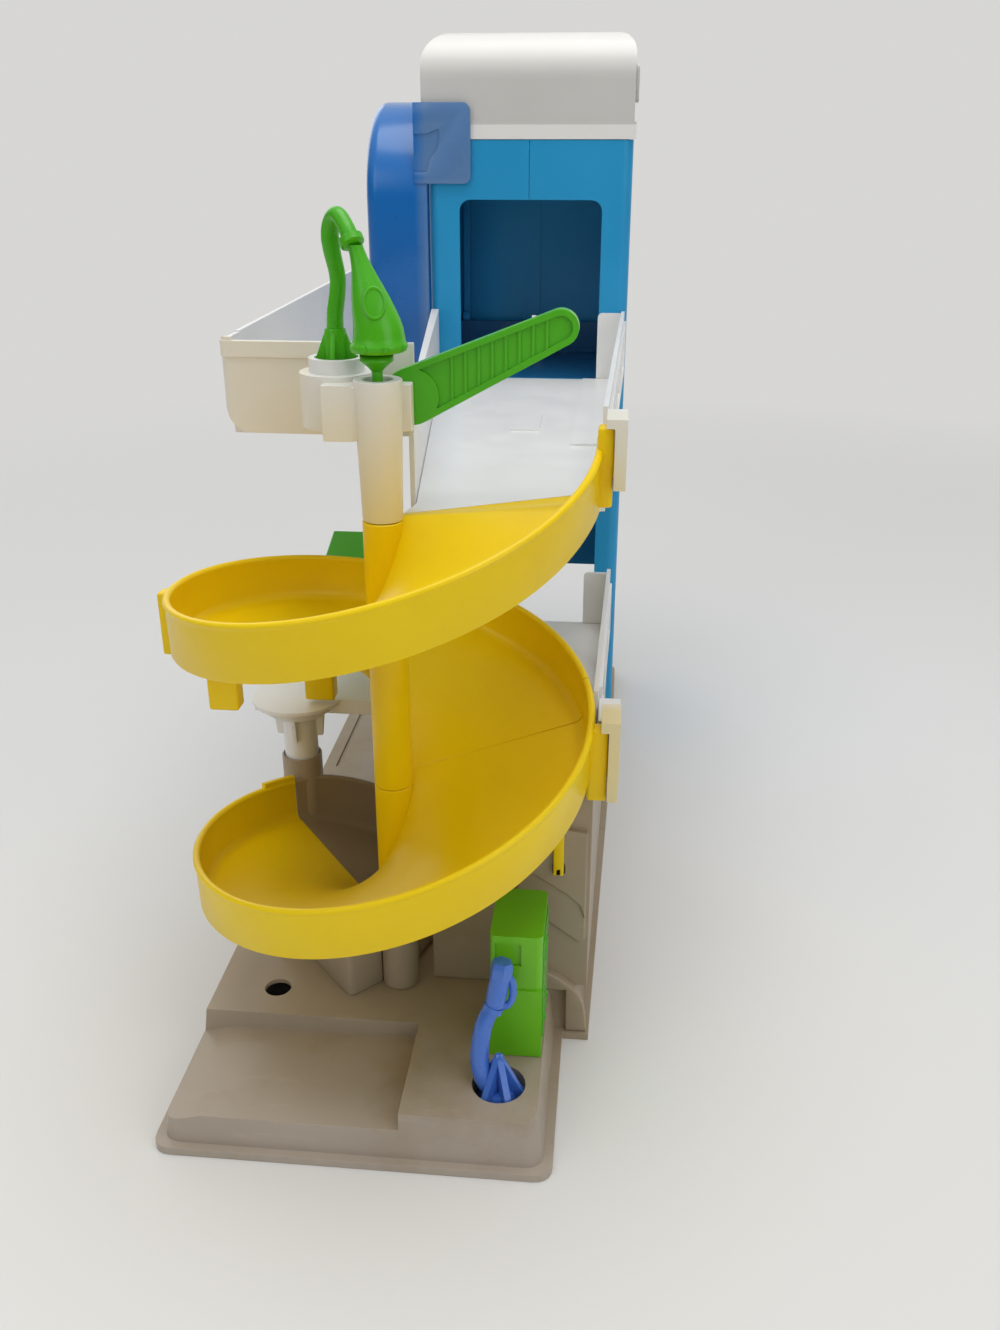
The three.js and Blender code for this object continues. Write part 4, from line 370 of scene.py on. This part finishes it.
def floor_material():
    """Fades with the distance, for the camera, into the backdrop's colour."""
    material = bpy.data.materials.new("pale_floor")
    material.use_nodes = True
    tree = material.node_tree
    shader = tree.nodes["Principled BSDF"]
    shader.inputs["Base Color"].default_value = FLOOR["color"]
    shader.inputs["Roughness"].default_value = FLOOR["rough"]
    shader.inputs["Specular IOR Level"].default_value = FLOOR["shine"]
    plain = tree.nodes.new("ShaderNodeEmission")
    plain.inputs["Color"].default_value = PALE
    away = tree.nodes.new("ShaderNodeVectorMath")
    away.operation = "LENGTH"
    tree.links.new(coordinate(tree, "Object"), away.inputs[0])
    far = spread(tree, away.outputs["Value"], *FLOOR["fade"], 0.0, 1.0)
    seen = ray_switch(tree, "Is Camera Ray", "Is Glossy Ray", "Is Transmission Ray")
    share = math_node(tree, "MULTIPLY", far, seen)
    tree.links.new(mix_shaders(tree, share, shader.outputs[0], plain.outputs[0]),
                   tree.nodes["Material Output"].inputs["Surface"])
    return material


def setup_floor():
    """A pale floor that bends up behind the object."""
    mesh = floor_mesh()
    floor = bpy.data.objects.new("floor", mesh)
    floor.location.z = -FLOOR["below"]
    bpy.context.scene.collection.objects.link(floor)
    mesh.materials.append(floor_material())


def linear(rgb):
    """A colour written as 0 to 255 in sRGB, as linear values."""
    out = []
    for value in rgb:
        c = value / 255
        out.append(c / 12.92 if c <= 0.04045 else ((c + 0.055) / 1.055) ** 2.4)
    return (*out, 1.0)


def noise(tree, vector, scale, detail, roughness):
    node = tree.nodes.new("ShaderNodeTexNoise")
    node.inputs["Scale"].default_value = scale
    node.inputs["Detail"].default_value = detail
    node.inputs["Roughness"].default_value = roughness
    tree.links.new(vector, node.inputs["Vector"])
    return node.outputs["Fac"]


def spread(tree, value, low, high, to_low, to_high):
    node = tree.nodes.new("ShaderNodeMapRange")
    for name, number in (("From Min", low), ("From Max", high), ("To Min", to_low),
                         ("To Max", to_high)):
        node.inputs[name].default_value = number
    tree.links.new(value, node.inputs["Value"])
    return node.outputs["Result"]


def patches(tree, vector, kind, to_low, to_high, reach=PATCH_RANGE):
    """Noise of a kind, spread over a range."""
    return spread(tree, noise(tree, vector, *kind), *reach, to_low, to_high)


def blend_color(tree, share, a, b):
    node = tree.nodes.new("ShaderNodeMix")
    node.data_type = "RGBA"
    for socket, value in (("A", a), ("B", b)):
        target = [s for s in node.inputs if s.name == socket and s.type == "RGBA"][0]
        if isinstance(value, tuple):
            target.default_value = value
        else:
            tree.links.new(value, target)
    tree.links.new(share, node.inputs[0])
    return [s for s in node.outputs if s.type == "RGBA"][0]


def stretched(tree, vector, scale):
    node = tree.nodes.new("ShaderNodeMapping")
    node.inputs["Scale"].default_value = scale
    tree.links.new(vector, node.inputs["Vector"])
    return node.outputs["Vector"]


def scuffed(tree, place, color, scuff):
    """Pale streaks and patches of dirt over a colour."""
    along = stretched(tree, place, STREAK_STRETCH)
    share = patches(tree, along, STREAKS, 0.0, scuff["streak_share"], STREAK_RANGE)
    color = blend_color(tree, share, color, linear(scuff["streak"]))
    share = patches(tree, place, DIRT, 0.0, scuff["dirt_share"], DIRT_RANGE)
    return blend_color(tree, share, color, linear(scuff["dirt"]))


def moulded(name, rgb, deep, rough, coat, grain=0.02, under=0.0, scuff=None, shine=0.35,
            coat_rough=0.1):
    """Moulded plastic: slow colour drift, a faint orange-peel skin, patchy gloss, and any scuffs."""
    material = bpy.data.materials.new(name)
    material.use_nodes = True
    tree = material.node_tree
    shader = tree.nodes["Principled BSDF"]
    place = coordinate(tree, "Object")
    color = blend_color(tree, patches(tree, place, DRIFT, 0.0, 1.0), linear(rgb), linear(deep))
    if scuff:
        color = scuffed(tree, place, color, scuff)
    tree.links.new(color, shader.inputs["Base Color"])
    gloss = patches(tree, place, GLOSS, rough + GLOSS_REACH[0], rough + GLOSS_REACH[1])
    tree.links.new(gloss, shader.inputs["Roughness"])
    bump = tree.nodes.new("ShaderNodeBump")
    bump.inputs["Strength"].default_value = grain
    bump.inputs["Distance"].default_value = GRAIN_DEEP
    tree.links.new(noise(tree, place, *GRAIN), bump.inputs["Height"])
    tree.links.new(bump.outputs["Normal"], shader.inputs["Normal"])
    shader.inputs["Specular IOR Level"].default_value = shine
    shader.inputs["Coat Weight"].default_value = coat
    shader.inputs["Coat Roughness"].default_value = coat_rough
    if under:
        shader.inputs["Subsurface Weight"].default_value = under
        shader.inputs["Subsurface Radius"].default_value = UNDER_RADIUS
        shader.inputs["Subsurface Scale"].default_value = UNDER_SCALE
    return material


def zinc_steel():
    material = bpy.data.materials.new("zinc_steel")
    material.use_nodes = True
    tree = material.node_tree
    shader = tree.nodes["Principled BSDF"]
    place = coordinate(tree, "Object")
    shader.inputs["Metallic"].default_value = 1.0
    shade = patches(tree, place, STEEL_SHADE, 0.0, 1.0)
    tree.links.new(blend_color(tree, shade, STEEL_DARK, STEEL_LIGHT), shader.inputs["Base Color"])
    tree.links.new(patches(tree, place, STEEL_GLOSS, *STEEL_ROUGH), shader.inputs["Roughness"])
    return material


def blend_painted_light(material, rgb, axis, reach, shares, near):
    """Blends a colour of painted light or shade into a material between two places along an axis, by a
    share at each.
    """
    tree = material.node_tree
    shader = tree.nodes["Principled BSDF"]
    old = shader.inputs["Base Color"].links[0].from_socket
    parts = split_place(tree, "Object")
    share = spread(tree, parts[axis], *reach, *shares)
    if near:
        share = math_node(tree, "MULTIPLY", share, spread(tree, parts["Y"], *near, 1.0, 0.0))
    tree.links.new(blend_color(tree, share, old, linear(rgb)), shader.inputs["Base Color"])


def make_materials():
    made = {slot: moulded(**values) for slot, values in PLASTICS.items()}
    for slot, *rest in PAINTED_LIGHT_TINTS:
        blend_painted_light(made[slot], *rest)
    made["steel"] = zinc_steel()
    return made


def mesh_piece(name, verts, faces, body, slot, replaced=()):
    """A piece from points in millimetres, which rides on a body and has its slot's material."""
    mesh = bpy.data.meshes.new(name)
    mesh.from_pydata([[c * MM for c in v] for v in verts], [], faces)
    work = bmesh.new()
    work.from_mesh(mesh)
    bmesh.ops.remove_doubles(work, verts=work.verts, dist=WELD)
    bmesh.ops.recalc_face_normals(work, faces=work.faces)
    work.to_mesh(mesh)
    work.free()
    obj = bpy.data.objects.new(name, mesh)
    bpy.context.scene.collection.objects.link(obj)
    mesh.materials.append(MATERIALS[slot])
    mesh.shade_smooth()
    mesh.set_sharp_from_angle(angle=math.radians(SHARP_ANGLE))
    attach(obj, body)
    if replaced:
        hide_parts(*replaced)


def join_shells(*shells):
    """Several (points, faces) shells as one."""
    verts, faces = [], []
    for more_verts, more_faces in shells:
        first = len(verts)
        verts.extend(more_verts)
        faces.extend([tuple(first + i for i in face) for face in more_faces])
    return verts, faces


def loft(rings, closed=False):
    """Faces through rings of as many points each, with end caps unless the rings close."""
    count = len(rings[0])
    verts = [point for ring in rings for point in ring]
    faces = []
    spans = len(rings) if closed else len(rings) - 1
    for k in range(spans):
        a = k * count
        b = ((k + 1) % len(rings)) * count
        for i in range(count):
            j = (i + 1) % count
            faces.append((a + i, a + j, b + j, b + i))
    if not closed:
        faces.append(tuple(range(count)))
        faces.append(tuple(range((len(rings) - 1) * count, len(rings) * count)))
    return verts, faces


def full_turn(sides):
    """The angles of as many points around a circle."""
    return [2 * math.pi * k / sides for k in range(sides)]


def turned(profile, x, y, sides=ROUND_SIDES):
    """A turned shell about an upright axis from a closed [radius, height] profile."""
    rings = [[(x + r * math.cos(a), y + r * math.sin(a), z) for r, z in profile]
             for a in full_turn(sides)]
    return loft(rings, closed=True)


def softened(work, r, steps):
    """Rounds the sharp edges of a bmesh and returns its points and faces."""
    bmesh.ops.recalc_face_normals(work, faces=work.faces)
    sharp = [e for e in work.edges if len(e.link_faces) == 2
             and e.calc_face_angle(0) > math.radians(SOFT_ANGLE)]
    if r and sharp:
        bmesh.ops.bevel(work, geom=sharp, offset=r, segments=steps, profile=0.5,
                        affect="EDGES", clamp_overlap=True)
    work.verts.index_update()
    verts = [tuple(v.co) for v in work.verts]
    faces = [tuple(v.index for v in f.verts) for f in work.faces]
    work.free()
    return verts, faces


def placed(a, b, c, axis):
    """A point of an outline, at a place along the axis that the outline is extruded along."""
    if axis == "x":
        return c, a, b
    if axis == "y":
        return a, c, b
    return a, b, c


def prism(outline, axis, low, high, r=0.5, steps=2):
    """An outline extruded along an axis, with soft edges; it is [y, z], [x, z] or [x, y] points."""
    verts, faces = loft([[placed(a, b, c, axis) for a, b in outline] for c in (low, high)])
    work = bmesh.new()
    made = [work.verts.new(v) for v in verts]
    for face in faces:
        work.faces.new([made[i] for i in face])
    return softened(work, r, steps)


def rounded_box(x0, x1, y0, y1, z0, z1, r, steps=3):
    return prism([(x0, y0), (x1, y0), (x1, y1), (x0, y1)], "z", z0, z1, r, steps)


def mix(a, b, share):
    return a + (b - a) * share


def smooth(share):
    s = min(1.0, max(0.0, share))
    return s * s * (3 - 2 * s)


def arc(cx, cy, radius, start, end, steps):
    out = []
    for k in range(steps + 1):
        a = math.radians(mix(start, end, k / steps))
        out.append((cx + radius * math.cos(a), cy + radius * math.sin(a)))
    return out


def smooth_path(points, steps):
    """Points on a Catmull-Rom curve through the given ones."""
    pts = [Vector(p) for p in points]
    pts = [pts[0] * 2 - pts[1]] + pts + [pts[-1] * 2 - pts[-2]]
    out = []
    for i in range(1, len(pts) - 2):
        a, b, c, d = pts[i - 1:i + 3]
        for k in range(steps):
            t = k / steps
            out.append(0.5 * ((2 * b) + (c - a) * t + (2 * a - 5 * b + 4 * c - d) * t * t
                              + (3 * b - a - 3 * c + d) * t ** 3))
    out.append(pts[-2])
    return out


def tube(points, radii, steps, sides):
    """A round tube through points, with its radii spread along it, kept from twisting."""
    path = smooth_path(points, steps)
    count = len(path) - 1
    rings = []
    side = None
    for k, point in enumerate(path):
        ahead = (path[min(k + 1, count)] - path[max(k - 1, 0)]).normalized()
        if side is None:
            side = ahead.orthogonal().normalized()
        side = (side - ahead * side.dot(ahead)).normalized()
        other = ahead.cross(side)
        place = k / count * (len(radii) - 1)
        low = min(int(place), len(radii) - 2)
        radius = mix(radii[low], radii[low + 1], place - low)
        rings.append([tuple(point + side * (radius * math.cos(a)) + other * (radius * math.sin(a)))
                      for a in full_turn(sides)])
    return loft(rings)


def on_turn(turn, radius):
    angle = math.radians(turn)
    return radius * math.cos(angle), -radius * math.sin(angle)


def rim_height(turn):
    near = 0.5 + 0.5 * math.cos(math.radians(turn - RAMP["dip_at"]))
    level = mix(RAMP["rim_start"], RAMP["rim_end"], turn / RAMP["end"])
    return level - RAMP["dip"] * near ** RAMP["dip_power"]


def inner_floor(turn):
    return min(DECK_TOP, mix(RAMP["inner_start"], RAMP["inner_end"], turn / RAMP["end"]))


def outer_floor(turn):
    share = smooth((turn - RAMP["start"]) / RAMP["bank_turn"])
    return mix(DECK_TOP, rim_height(turn) - RAMP["floor_below_rim"], share)


def channel(inner, outer, rim, inner_radius, foot):
    """The ramp's section: floor, filleted into the outer wall, a rounded bead on its rim, and back."""
    r, bead, fillet, c = RAMP["radius"], RAMP["bead"], CHANNEL["fillet"], CHANNEL
    points = [(inner_radius, inner)]
    for share in FLOOR_SHARES:
        points.append((mix(inner_radius, INSIDE - fillet, share), mix(inner, outer, share)))
    points += arc(INSIDE - fillet, outer + fillet, fillet, -90, 0, c["fillet_steps"])
    points.append((INSIDE, rim - bead))
    points += arc(INSIDE + c["bead_middle"], rim - c["bead_radius"], c["bead_radius"], 180, 0,
                  c["bead_steps"])
    points.append((r + c["bead_out"], rim - bead))
    points.append((r, rim - bead - c["bead_under"]))
    points.append((r - c["foot_in"], foot + c["foot_rise"]))
    points.append((r - c["foot_edge"], foot))
    points.append((INSIDE - c["inner_step"], max(foot, outer - RAMP["floor"])))
    points.append((inner_radius, inner - RAMP["floor"]))
    return points


def ramp_section(turn):
    outer = outer_floor(turn)
    rim = rim_height(turn)
    foot = min(rim - RAMP["side"], outer - RAMP["floor"])
    return channel(inner_floor(turn), outer, rim, RAMP["column"] / 2, foot)


def rim_lug(turn):
    """The raised end of the lower ramp's rim."""
    rim = rim_height(turn)
    low, high, edge = rim - RAMP["bead"], rim + RIM_LUG["high"], RIM_LUG["edge"]
    outside = RAMP["radius"] + RIM_LUG["out"]
    return [(INSIDE, low), (INSIDE, high - edge), (INSIDE + edge, high), (outside - edge, high),
            (outside, high - edge), (outside, low)]


def sweep(section, start, end):
    count = math.ceil((end - start) / SWEEP_STEP)
    rings = []
    for k in range(count + 1):
        turn = start + (end - start) * k / count
        rings.append([(*on_turn(turn, r), z) for r, z in section(turn)])
    return loft(rings)


def lead_section(turn):
    """The floor that leads from the deck onto the ramp, before its wall starts."""
    inner, outer = inner_floor(turn), outer_floor(turn)
    return [(RAMP["column"] / 2, inner), (INSIDE, outer), (INSIDE, outer - RAMP["floor"]),
            (RAMP["column"] / 2, inner - RAMP["floor"])]


def column(z0, z1):
    radius, edge = RAMP["column"], RAMP["column_edge"]
    return turned([(CORE, z0), (radius - edge, z0), (radius, z0 + edge), (radius, z1 - edge),
                   (radius - edge, z1), (CORE, z1)], RAMP["column_x"], 0)


def build_ramps():
    upper = join_shells(
        sweep(ramp_section, RAMP["wall_start"], RAMP["seam"]),
        sweep(lead_section, RAMP["start"], RAMP["wall_start"] + RAMP["lap"]),
        column(RAMP["column_seam"], RAMP["cap_seam"]),
        *[rounded_box(*tab) for tab in UPPER_TABS])
    mesh_piece("ramp_upper_turn", *upper, "garage", "yellow_plastic", ["upper_ramp"])
    lower = join_shells(
        sweep(ramp_section, RAMP["seam"] + RAMP["gap"], RAMP["end"]),
        sweep(rim_lug, RAMP["end"] - RIM_LUG["turn"], RAMP["end"]),
        column(RAMP["column_foot"], RAMP["column_seam"] - SEAT),
        *[rounded_box(*tab) for tab in LOWER_TABS])
    mesh_piece("ramp_lower_turn", *lower, "garage", "yellow_plastic", ["lower_ramp"])


def landing_section(turn):
    share = (turn - RAMP["end"]) / (LANDING["end"] - RAMP["end"])
    rim = rim_height(RAMP["end"]) - LANDING["rim_drop"] * smooth(share)
    inner = mix(inner_floor(RAMP["end"]), FLOOR_TOP + LANDING["inner_end"], share)
    outer = mix(outer_floor(RAMP["end"]), FLOOR_TOP + LANDING["outer_end"], share)
    points = channel(inner, outer, rim, LANDING["inner_radius"], LOW)[:-2]
    return points + [(INSIDE, LOW), (INSIDE, outer - RAMP["floor"]),
                     (LANDING["inner_radius"], inner - RAMP["floor"])]


def end_wall_section(turn):
    """The wall that closes the landing where the yellow ramp ends, the same at every turn."""
    mid_wall = RAMP["radius"] - RAMP["wall"] / 2
    inner = inner_floor(RAMP["end"]) - LANDING["overlap"]
    outer = outer_floor(RAMP["end"]) - LANDING["overlap"]
    return [(LANDING["inner_radius"], inner), (mid_wall, outer), (mid_wall, LOW),
            (LANDING["inner_radius"], LOW)]


def landing_block():
    """The block under the end of the yellow ramp, set out along and ahead of the seam's line."""
    along = Vector(on_turn(RAMP["end"], 1.0))
    ahead = Vector(on_turn(RAMP["end"] - 90, 1.0))
    start, behind, wide, corner = (LANDING[name] for name in ("start", "behind", "wide", "corner"))
    room = LANDING["inner_radius"] - RAMP["column_x"]
    middle = Vector((RAMP["column_x"], 0.0))
    ca, cb = middle.dot(along), middle.dot(ahead)
    first = math.degrees(math.asin((behind - cb) / room))
    last = math.degrees(math.acos((start - ca) / room))
    plan = arc(ca, cb, room, first, last, LANDING["room_steps"])
    plan += arc(start + corner, wide - corner, corner, 180, 90, LANDING["corner_steps"])
    plan += [(LANDING["reach"], LANDING["far_wide"]), (LANDING["reach"], behind)]
    outline = [tuple(along * a + ahead * b) for a, b in plan]
    return prism(outline, "z", LOW, LANDING["top"])


def socket_ring():
    s = SOCKET
    low_edge = s["top"] - s["edge_high"]
    return turned([(CORE, LOW), (s["out"], LOW), (s["out"], low_edge), (s["out"] - s["edge"], s["top"]),
                   (s["bore"] + s["edge"], s["top"]), (s["bore"], low_edge), (s["bore"], s["floor"]),
                   (CORE, s["floor"])], s["x"], s["y"])


def build_landing():
    start = RAMP["end"] + RAMP["gap"]
    shells = join_shells(sweep(landing_section, start, LANDING["end"]),
                         sweep(end_wall_section, start, RAMP["end"] + LANDING["end_wall"]),
                         landing_block(), socket_ring())
    mesh_piece("ramp_landing_body", *shells, "garage", "gray_plastic", ["ramp_landing"])


def arch_station(k):
    """A point of the arch's outer line and the way out from it, along its half circle."""
    angle = math.radians(180 - 180 * k / ARCH["stations"])
    out_y, out_z = math.cos(angle), math.sin(angle)
    radius = ARCH["radius"]
    return (ARCH["front"] + radius + radius * out_y, ARCH["top"] - radius + radius * out_z, out_y, out_z)


def arch_ring(station, right):
    y, z, ny, nz = station
    left, edge, wall, lip, soft = (ARCH[name] for name in ("left", "edge", "wall", "lip", "soft"))
    section = [(left + a, b) for a, b in arc(edge, -edge, edge, 180, 90, ARCH["edge_steps"])]
    section += [(right - soft, 0.0), (right, -soft), (right, -wall), (left + edge, -wall)]
    inner = edge - lip
    inside = arc(edge, -wall - inner, inner, ARCH["lip_from"], 180, ARCH["lip_steps"])
    section += [(left + a, b) for a, b in inside]
    section += [(left + lip, -ARCH["frame"]), (left, -ARCH["frame"])]
    return [(x, y + ny * n, z + nz * n) for x, n in section]


def arch_band():
    """Front leg, half circle and back leg, narrower where the roof is beside it."""
    low = DECK_TOP + SEAT
    right = ARCH["right"]
    first, last = arch_station(0), arch_station(ARCH["stations"])
    rings = [arch_ring((first[0], low, *first[2:]), right)]
    under = True
    for k in range(ARCH["stations"] + 1):
        station = arch_station(k)
        now = station[1] < ARCH["roof_low"]
        if now != under:
            rings.append(arch_ring(station, right if under else ARCH["roof_side"]))
            under = now
        rings.append(arch_ring(station, right if under else ARCH["roof_side"]))
    rings.append(arch_ring((last[0], low, *last[2:]), right))
    return loft(rings)


def arch_tab():
    """The tab's back, and its front with the sunk area left out of it."""
    x0, x1, z0, z1, r = ARCH["right"] - TAB["lap"], TAB["right"], TAB["low"], TAB["high"], TAB["round"]
    outside = [(x0, z0), *arc(x1 - r, z0 + r, r, -90, 0, TAB["round_steps"]),
               *arc(x1 - r, z1 - r, r, 0, 90, TAB["round_steps"]), (x0, z1)]
    sunk = [(x0, TAB_SUNK[0]), *TAB_SUNK_POINTS, (x0, TAB_SUNK[1])]
    front = ARCH["front"]
    return (prism(outside, "y", front + TAB["back_from"], front + TAB["back"], TAB["back_edge"]),
            prism(outside + sunk, "y", front, front + TAB["thick"]))


def build_arch():
    mesh_piece("arch_cover_body", *join_shells(arch_band(), *arch_tab()), "garage",
               "dark_blue_plastic", ["arch_cover"])


def oval_pad(middle, ahead, half_wide, half_high, rise, sides):
    """A low oval pad with a soft edge that faces ahead."""
    up = (Vector((0, 0, 1)) - ahead * ahead.z).normalized()
    side = up.cross(ahead)
    rings = []
    for share, rise_share, behind in PAD_STEPS:
        out = rise * rise_share - behind
        rings.append([tuple(middle + ahead * out + side * (share * half_wide * math.cos(a))
                            + up * (share * half_high * math.sin(a)))
                      for a in full_turn(sides)])
    return loft(rings)


def hose_fins():
    cx, cy, low = HOSE["x"], HOSE["y"], HOSE["low"] + HOSE["fin_from"]
    half, wide = HOSE["fin_half"], FIN_OUTLINE[0][0]
    outline = [(-wide, low), (wide, low), *FIN_OUTLINE]
    return [prism([(middle + a, b) for a, b in outline], axis, across - half, across + half,
                  HOSE["fin_edge"])
            for axis, middle, across in (("y", cx, cy), ("x", cy, cx))]


def build_hose():
    """The green hose, one stiff moulding, with its foot in the service bay's cup."""
    cx, cy, low, foot_high = HOSE["x"], HOSE["y"], HOSE["low"], HOSE["foot_high"]
    foot = turned([(CORE, low), (HOSE["foot"], low), (HOSE["foot"], low + foot_high),
                   (CORE, low + foot_high)], cx, cy)
    stem, top = HOSE["stem"], HOSE["stem_top"]
    post = turned([(CORE, low), (stem, low), (stem, top - HOSE["stem_edge_high"]),
                   (stem - HOSE["stem_edge"], top), (CORE, top)], cx, cy)
    places = [(cx + a, cy + b, HOSE["top"] + c) for a, b, c in HOSE_ROUTE]
    hose = tube(places, HOSE_RADII, HOSE["steps"], HOSE["sides"])
    tip = Vector(places[-1])
    ahead = (tip - Vector(places[-2])).normalized()
    ring = tube([tip + ahead * s for s in HOSE_RING_PLACES], HOSE_RING_RADII, HOSE["ring_steps"],
                HOSE["sides"])
    mesh_piece("wash_hose_body", *join_shells(foot, post, *hose_fins(), hose, ring), "wash_set",
               "green_plastic", ["wash_hose"])


def nozzle_bell():
    x = RAMP["column_x"]
    rings = []
    for dx, z, r in NOZZLE_STATIONS:
        dy = max(0.0, -dx) * NOZZLE_BACK_SHARE
        rings.append([(x + dx + r * math.cos(a), dy + r * math.sin(a), z)
                      for a in full_turn(ROUND_SIDES)])
    return loft(rings)


def build_nozzle():
    """The bell-shaped nozzle that stands in the column's cap."""
    x, p = RAMP["column_x"], NOZZLE_PAD
    pad = oval_pad(Vector((x + p["right"], p["y"], p["z"])), Vector(p["ahead"]).normalized(),
                   p["wide"], p["high"], p["rise"], p["sides"])
    lugs = []
    half = LUGS["half"]
    for angle in LUGS["angles"]:
        a = math.radians(angle)
        px = x + LUGS["right"] + LUGS["radius"] * math.cos(a)
        py = LUGS["radius"] * math.sin(a)
        lugs.append(rounded_box(px - half, px + half, py - half, py + half, LUGS["low"], LUGS["high"],
                                LUGS["edge"], LUGS["edge_steps"]))
    shells = join_shells(nozzle_bell(), turned(NOZZLE_STEM, x, 0), pad, *lugs)
    mesh_piece("wash_nozzle_body", *shells, "wash_set", "green_plastic", ["wash_nozzle"])


def filler_fin(angle):
    f = FILLER
    dx, dy = math.cos(math.radians(angle)), math.sin(math.radians(angle))
    profile = [(0, f["low"]), (f["fin"], f["low"]), (f["fin"], f["fin_side"]),
               (f["fin"] - f["fin_edge"], f["fin_shoulder"]), (f["fin_edge"], f["fin_tip"]),
               (0, f["fin_top"])]
    return loft([[(f["x"] + r * dx + w * dy, f["y"] + r * dy - w * dx, z) for r, z in profile]
                 for w in (-f["fin_half"], f["fin_half"])])


def build_filler():
    """The blue filler nozzle: finned hub, limb, collar, grip, spout and guard."""
    f = FILLER
    hub = turned([(CORE, f["low"]), (f["hub"], f["low"]), (f["hub"], f["hub_side"]),
                  (f["hub_neck"], f["hub_neck_high"]), (CORE, f["hub_top"])],
                 f["x"], f["y"], f["hub_sides"])
    fins = [filler_fin(angle) for angle in FILLER_FINS]
    tubes = [tube([(f["x"] + a, f["y"] + b, FLOOR_TOP + c) for a, b, c in route], radii, steps, sides)
             for route, radii, steps, sides in FILLER_TUBES]
    mesh_piece("filler_nozzle_body", *join_shells(hub, *fins, *tubes), "filler",
               "nozzle_blue_plastic", ["pump_nozzle"])


def build_small_pieces():
    """A tongue that closes the tower's back seam, the bay's bracket and the corner wall's foot."""
    seam = (TOWER["left"] + TOWER["right"]) / 2
    half, back = TONGUE["half"], TOWER["back"]
    tongue = rounded_box(seam - half, seam + half, back - TONGUE["front"], back - TONGUE["back"],
                         TONGUE["low"], TONGUE["high"], TONGUE["edge"], TONGUE["edge_steps"])
    mesh_piece("tower_seam_tongue", *tongue, "garage", "light_blue_plastic")
    mesh_piece("bay_bracket_end", *rounded_box(*BRACKET), "garage", "white_plastic")
    foot = prism(WALL_FOOT_OUTLINE, "y", WALL_FOOT["front"], WALL_FOOT["back"], WALL_FOOT["edge"],
                 WALL_FOOT["edge_steps"])
    mesh_piece("corner_wall_foot", *foot, "garage", "gray_plastic")


def dress_node(name, width):
    """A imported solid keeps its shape, and gets softened edges and its slot's material."""
    node = frame["nodes"][name]
    node.data.materials.clear()
    node.data.materials.append(MATERIALS[SLOT_OF[name]])
    node.data.shade_smooth()
    weld = node.modifiers.new("weld", "WELD")
    weld.merge_threshold = WELD
    if name not in KEPT_FACES:
        flat = node.modifiers.new("flat", "DECIMATE")
        flat.decimate_type = "DISSOLVE"
        flat.angle_limit = math.radians(FLAT_ANGLE)
    if width:
        soft = node.modifiers.new("soft", "BEVEL")
        soft.width = width * MM
        soft.segments = EDGE_STEPS
        soft.limit_method = "ANGLE"
        soft.angle_limit = math.radians(EDGE_ANGLE)
        soft.harden_normals = False
        soft.miter_outer = "MITER_ARC"
        soft.use_clamp_overlap = True
    shade = node.modifiers.new("shade", "WEIGHTED_NORMAL")
    shade.keep_sharp = False
    shade.weight = EDGE_WEIGHT


setup_view()
setup_world()
setup_floor()
MATERIALS = make_materials()
SLOT_OF = {row["node"]: row["material_slot"] for row in frame["record"]["subparts"]}
build_ramps()
build_landing()
build_arch()
build_hose()
build_nozzle()
build_filler()
build_small_pieces()
for node_name in sorted(set(SLOT_OF) - REPLACED):
    dress_node(node_name, EDGE_WIDTHS.get(node_name, PLAIN_EDGE))
